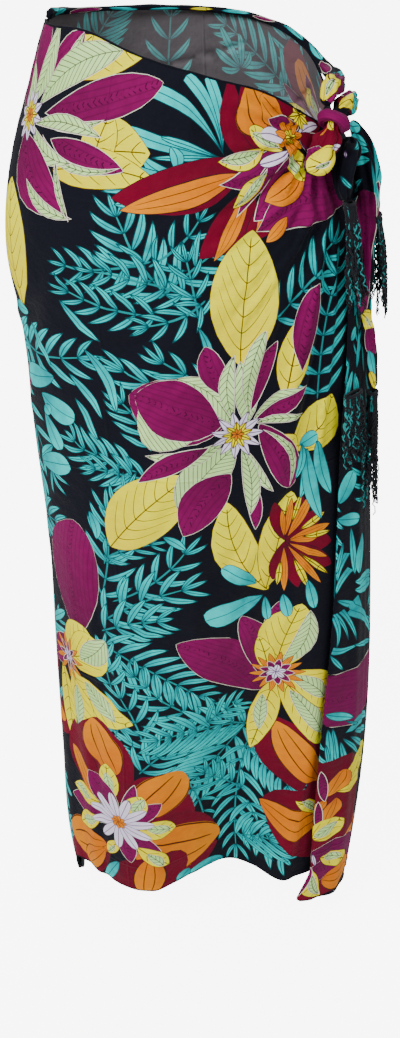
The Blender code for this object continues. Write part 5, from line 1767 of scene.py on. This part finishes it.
@dataclass(frozen=True)
class Studio:
    """Camera, floor and soft white light."""

    camera_place: Place = (0.0114, -1.3259, 0.3059)
    camera_down: float = 32.404
    focal_pixels: float = 1380.31
    picture_height: float = 1038.0
    film: float = 36.0
    # Columns: name, place, side of the soft box, power.
    lights: Sequence[tuple[str, Place, float, float]] = (
        ("key", (-1.5, -1.9, 1.5), 0.9, 88.0),
        ("fill", (1.9, -1.9, 0.9), 1.8, 22.0),
        ("rim", (0.4, 2.4, 1.6), 1.8, 30.0),
    )
    # The sky's light on the cloth, and how bright the sky and the floor are to the camera.
    sky: float = 0.44
    backdrop: float = 7.0

    def camera(self) -> None:
        """Set up the camera at the photograph's viewing angle."""
        data = bpy.data.cameras.new("camera")
        data.sensor_width = self.film
        data.lens = self.focal_pixels * self.film / self.picture_height
        obj = bpy.data.objects.new("camera", data)
        obj.location = self.camera_place
        obj.rotation_euler = (math.radians(90.0 - self.camera_down), 0.0, 0.0)
        bpy.context.scene.collection.objects.link(obj)
        bpy.context.scene.camera = obj

    def light(self, name: str, place: Place, size: float, power: float) -> None:
        """Add a square soft box that faces the middle of the cloth."""
        data = bpy.data.lights.new(name, "AREA")
        data.shape = "SQUARE"
        data.size = size
        data.energy = power
        obj = bpy.data.objects.new(name, data)
        obj.location = place
        aim = Vector((0.0, 0.0, -0.5)) - Vector(place)
        obj.rotation_euler = aim.to_track_quat("-Z", "Y").to_euler()
        bpy.context.scene.collection.objects.link(obj)

    def floor(self) -> None:
        """Add the pale floor."""
        n = Nodes("floor")
        n.give("Base Color", (0.86, 0.86, 0.86))
        n.give("Roughness", 0.9)
        seen = n.tree.nodes.new("ShaderNodeLightPath").outputs["Is Camera Ray"]
        n.give("Emission Color", (1.0, 1.0, 1.0))
        n.give("Emission Strength", n.times(seen, self.backdrop))
        reach = np.array([[-6, -6], [6, -6], [6, 6], [-6, 6]], float)
        points = np.column_stack([reach, np.full(4, FLOOR - 0.0005)])
        make_mesh("floor", points, [[0, 1, 2, 3]], None, None, {}, [n.material])

    def build(self) -> None:
        """Set up everything round the object."""
        self.camera()
        self.floor()
        for light in self.lights:
            self.light(*light)
        world = bpy.data.worlds.new("studio")
        world.use_nodes = True
        tree = world.node_tree
        background = tree.nodes["Background"]
        background.inputs["Color"].default_value = (1.0, 1.0, 1.0, 1.0)
        seen = tree.nodes.new("ShaderNodeMapRange")
        tree.links.new(tree.nodes.new("ShaderNodeLightPath").outputs["Is Camera Ray"], seen.inputs["Value"])
        seen.inputs["To Min"].default_value = self.sky
        seen.inputs["To Max"].default_value = self.backdrop
        tree.links.new(seen.outputs["Result"], background.inputs["Strength"])
        bpy.context.scene.world = world


def main() -> None:
    """Build the sarong's looks."""
    logging.basicConfig(level=logging.INFO, format="%(name)s: %(message)s")
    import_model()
    Studio().build()
    finishes = coats() + [yarn_coat()]
    for maker in (*bunches(), KnotBand(), *fringes(), BackWrap(), SideCascade(), FrontWrap()):
        for piece in maker.build(finishes):
            LOG.info("%s: %d faces", piece.name, len(piece.data.polygons))


if __name__ == "__main__":
    main()
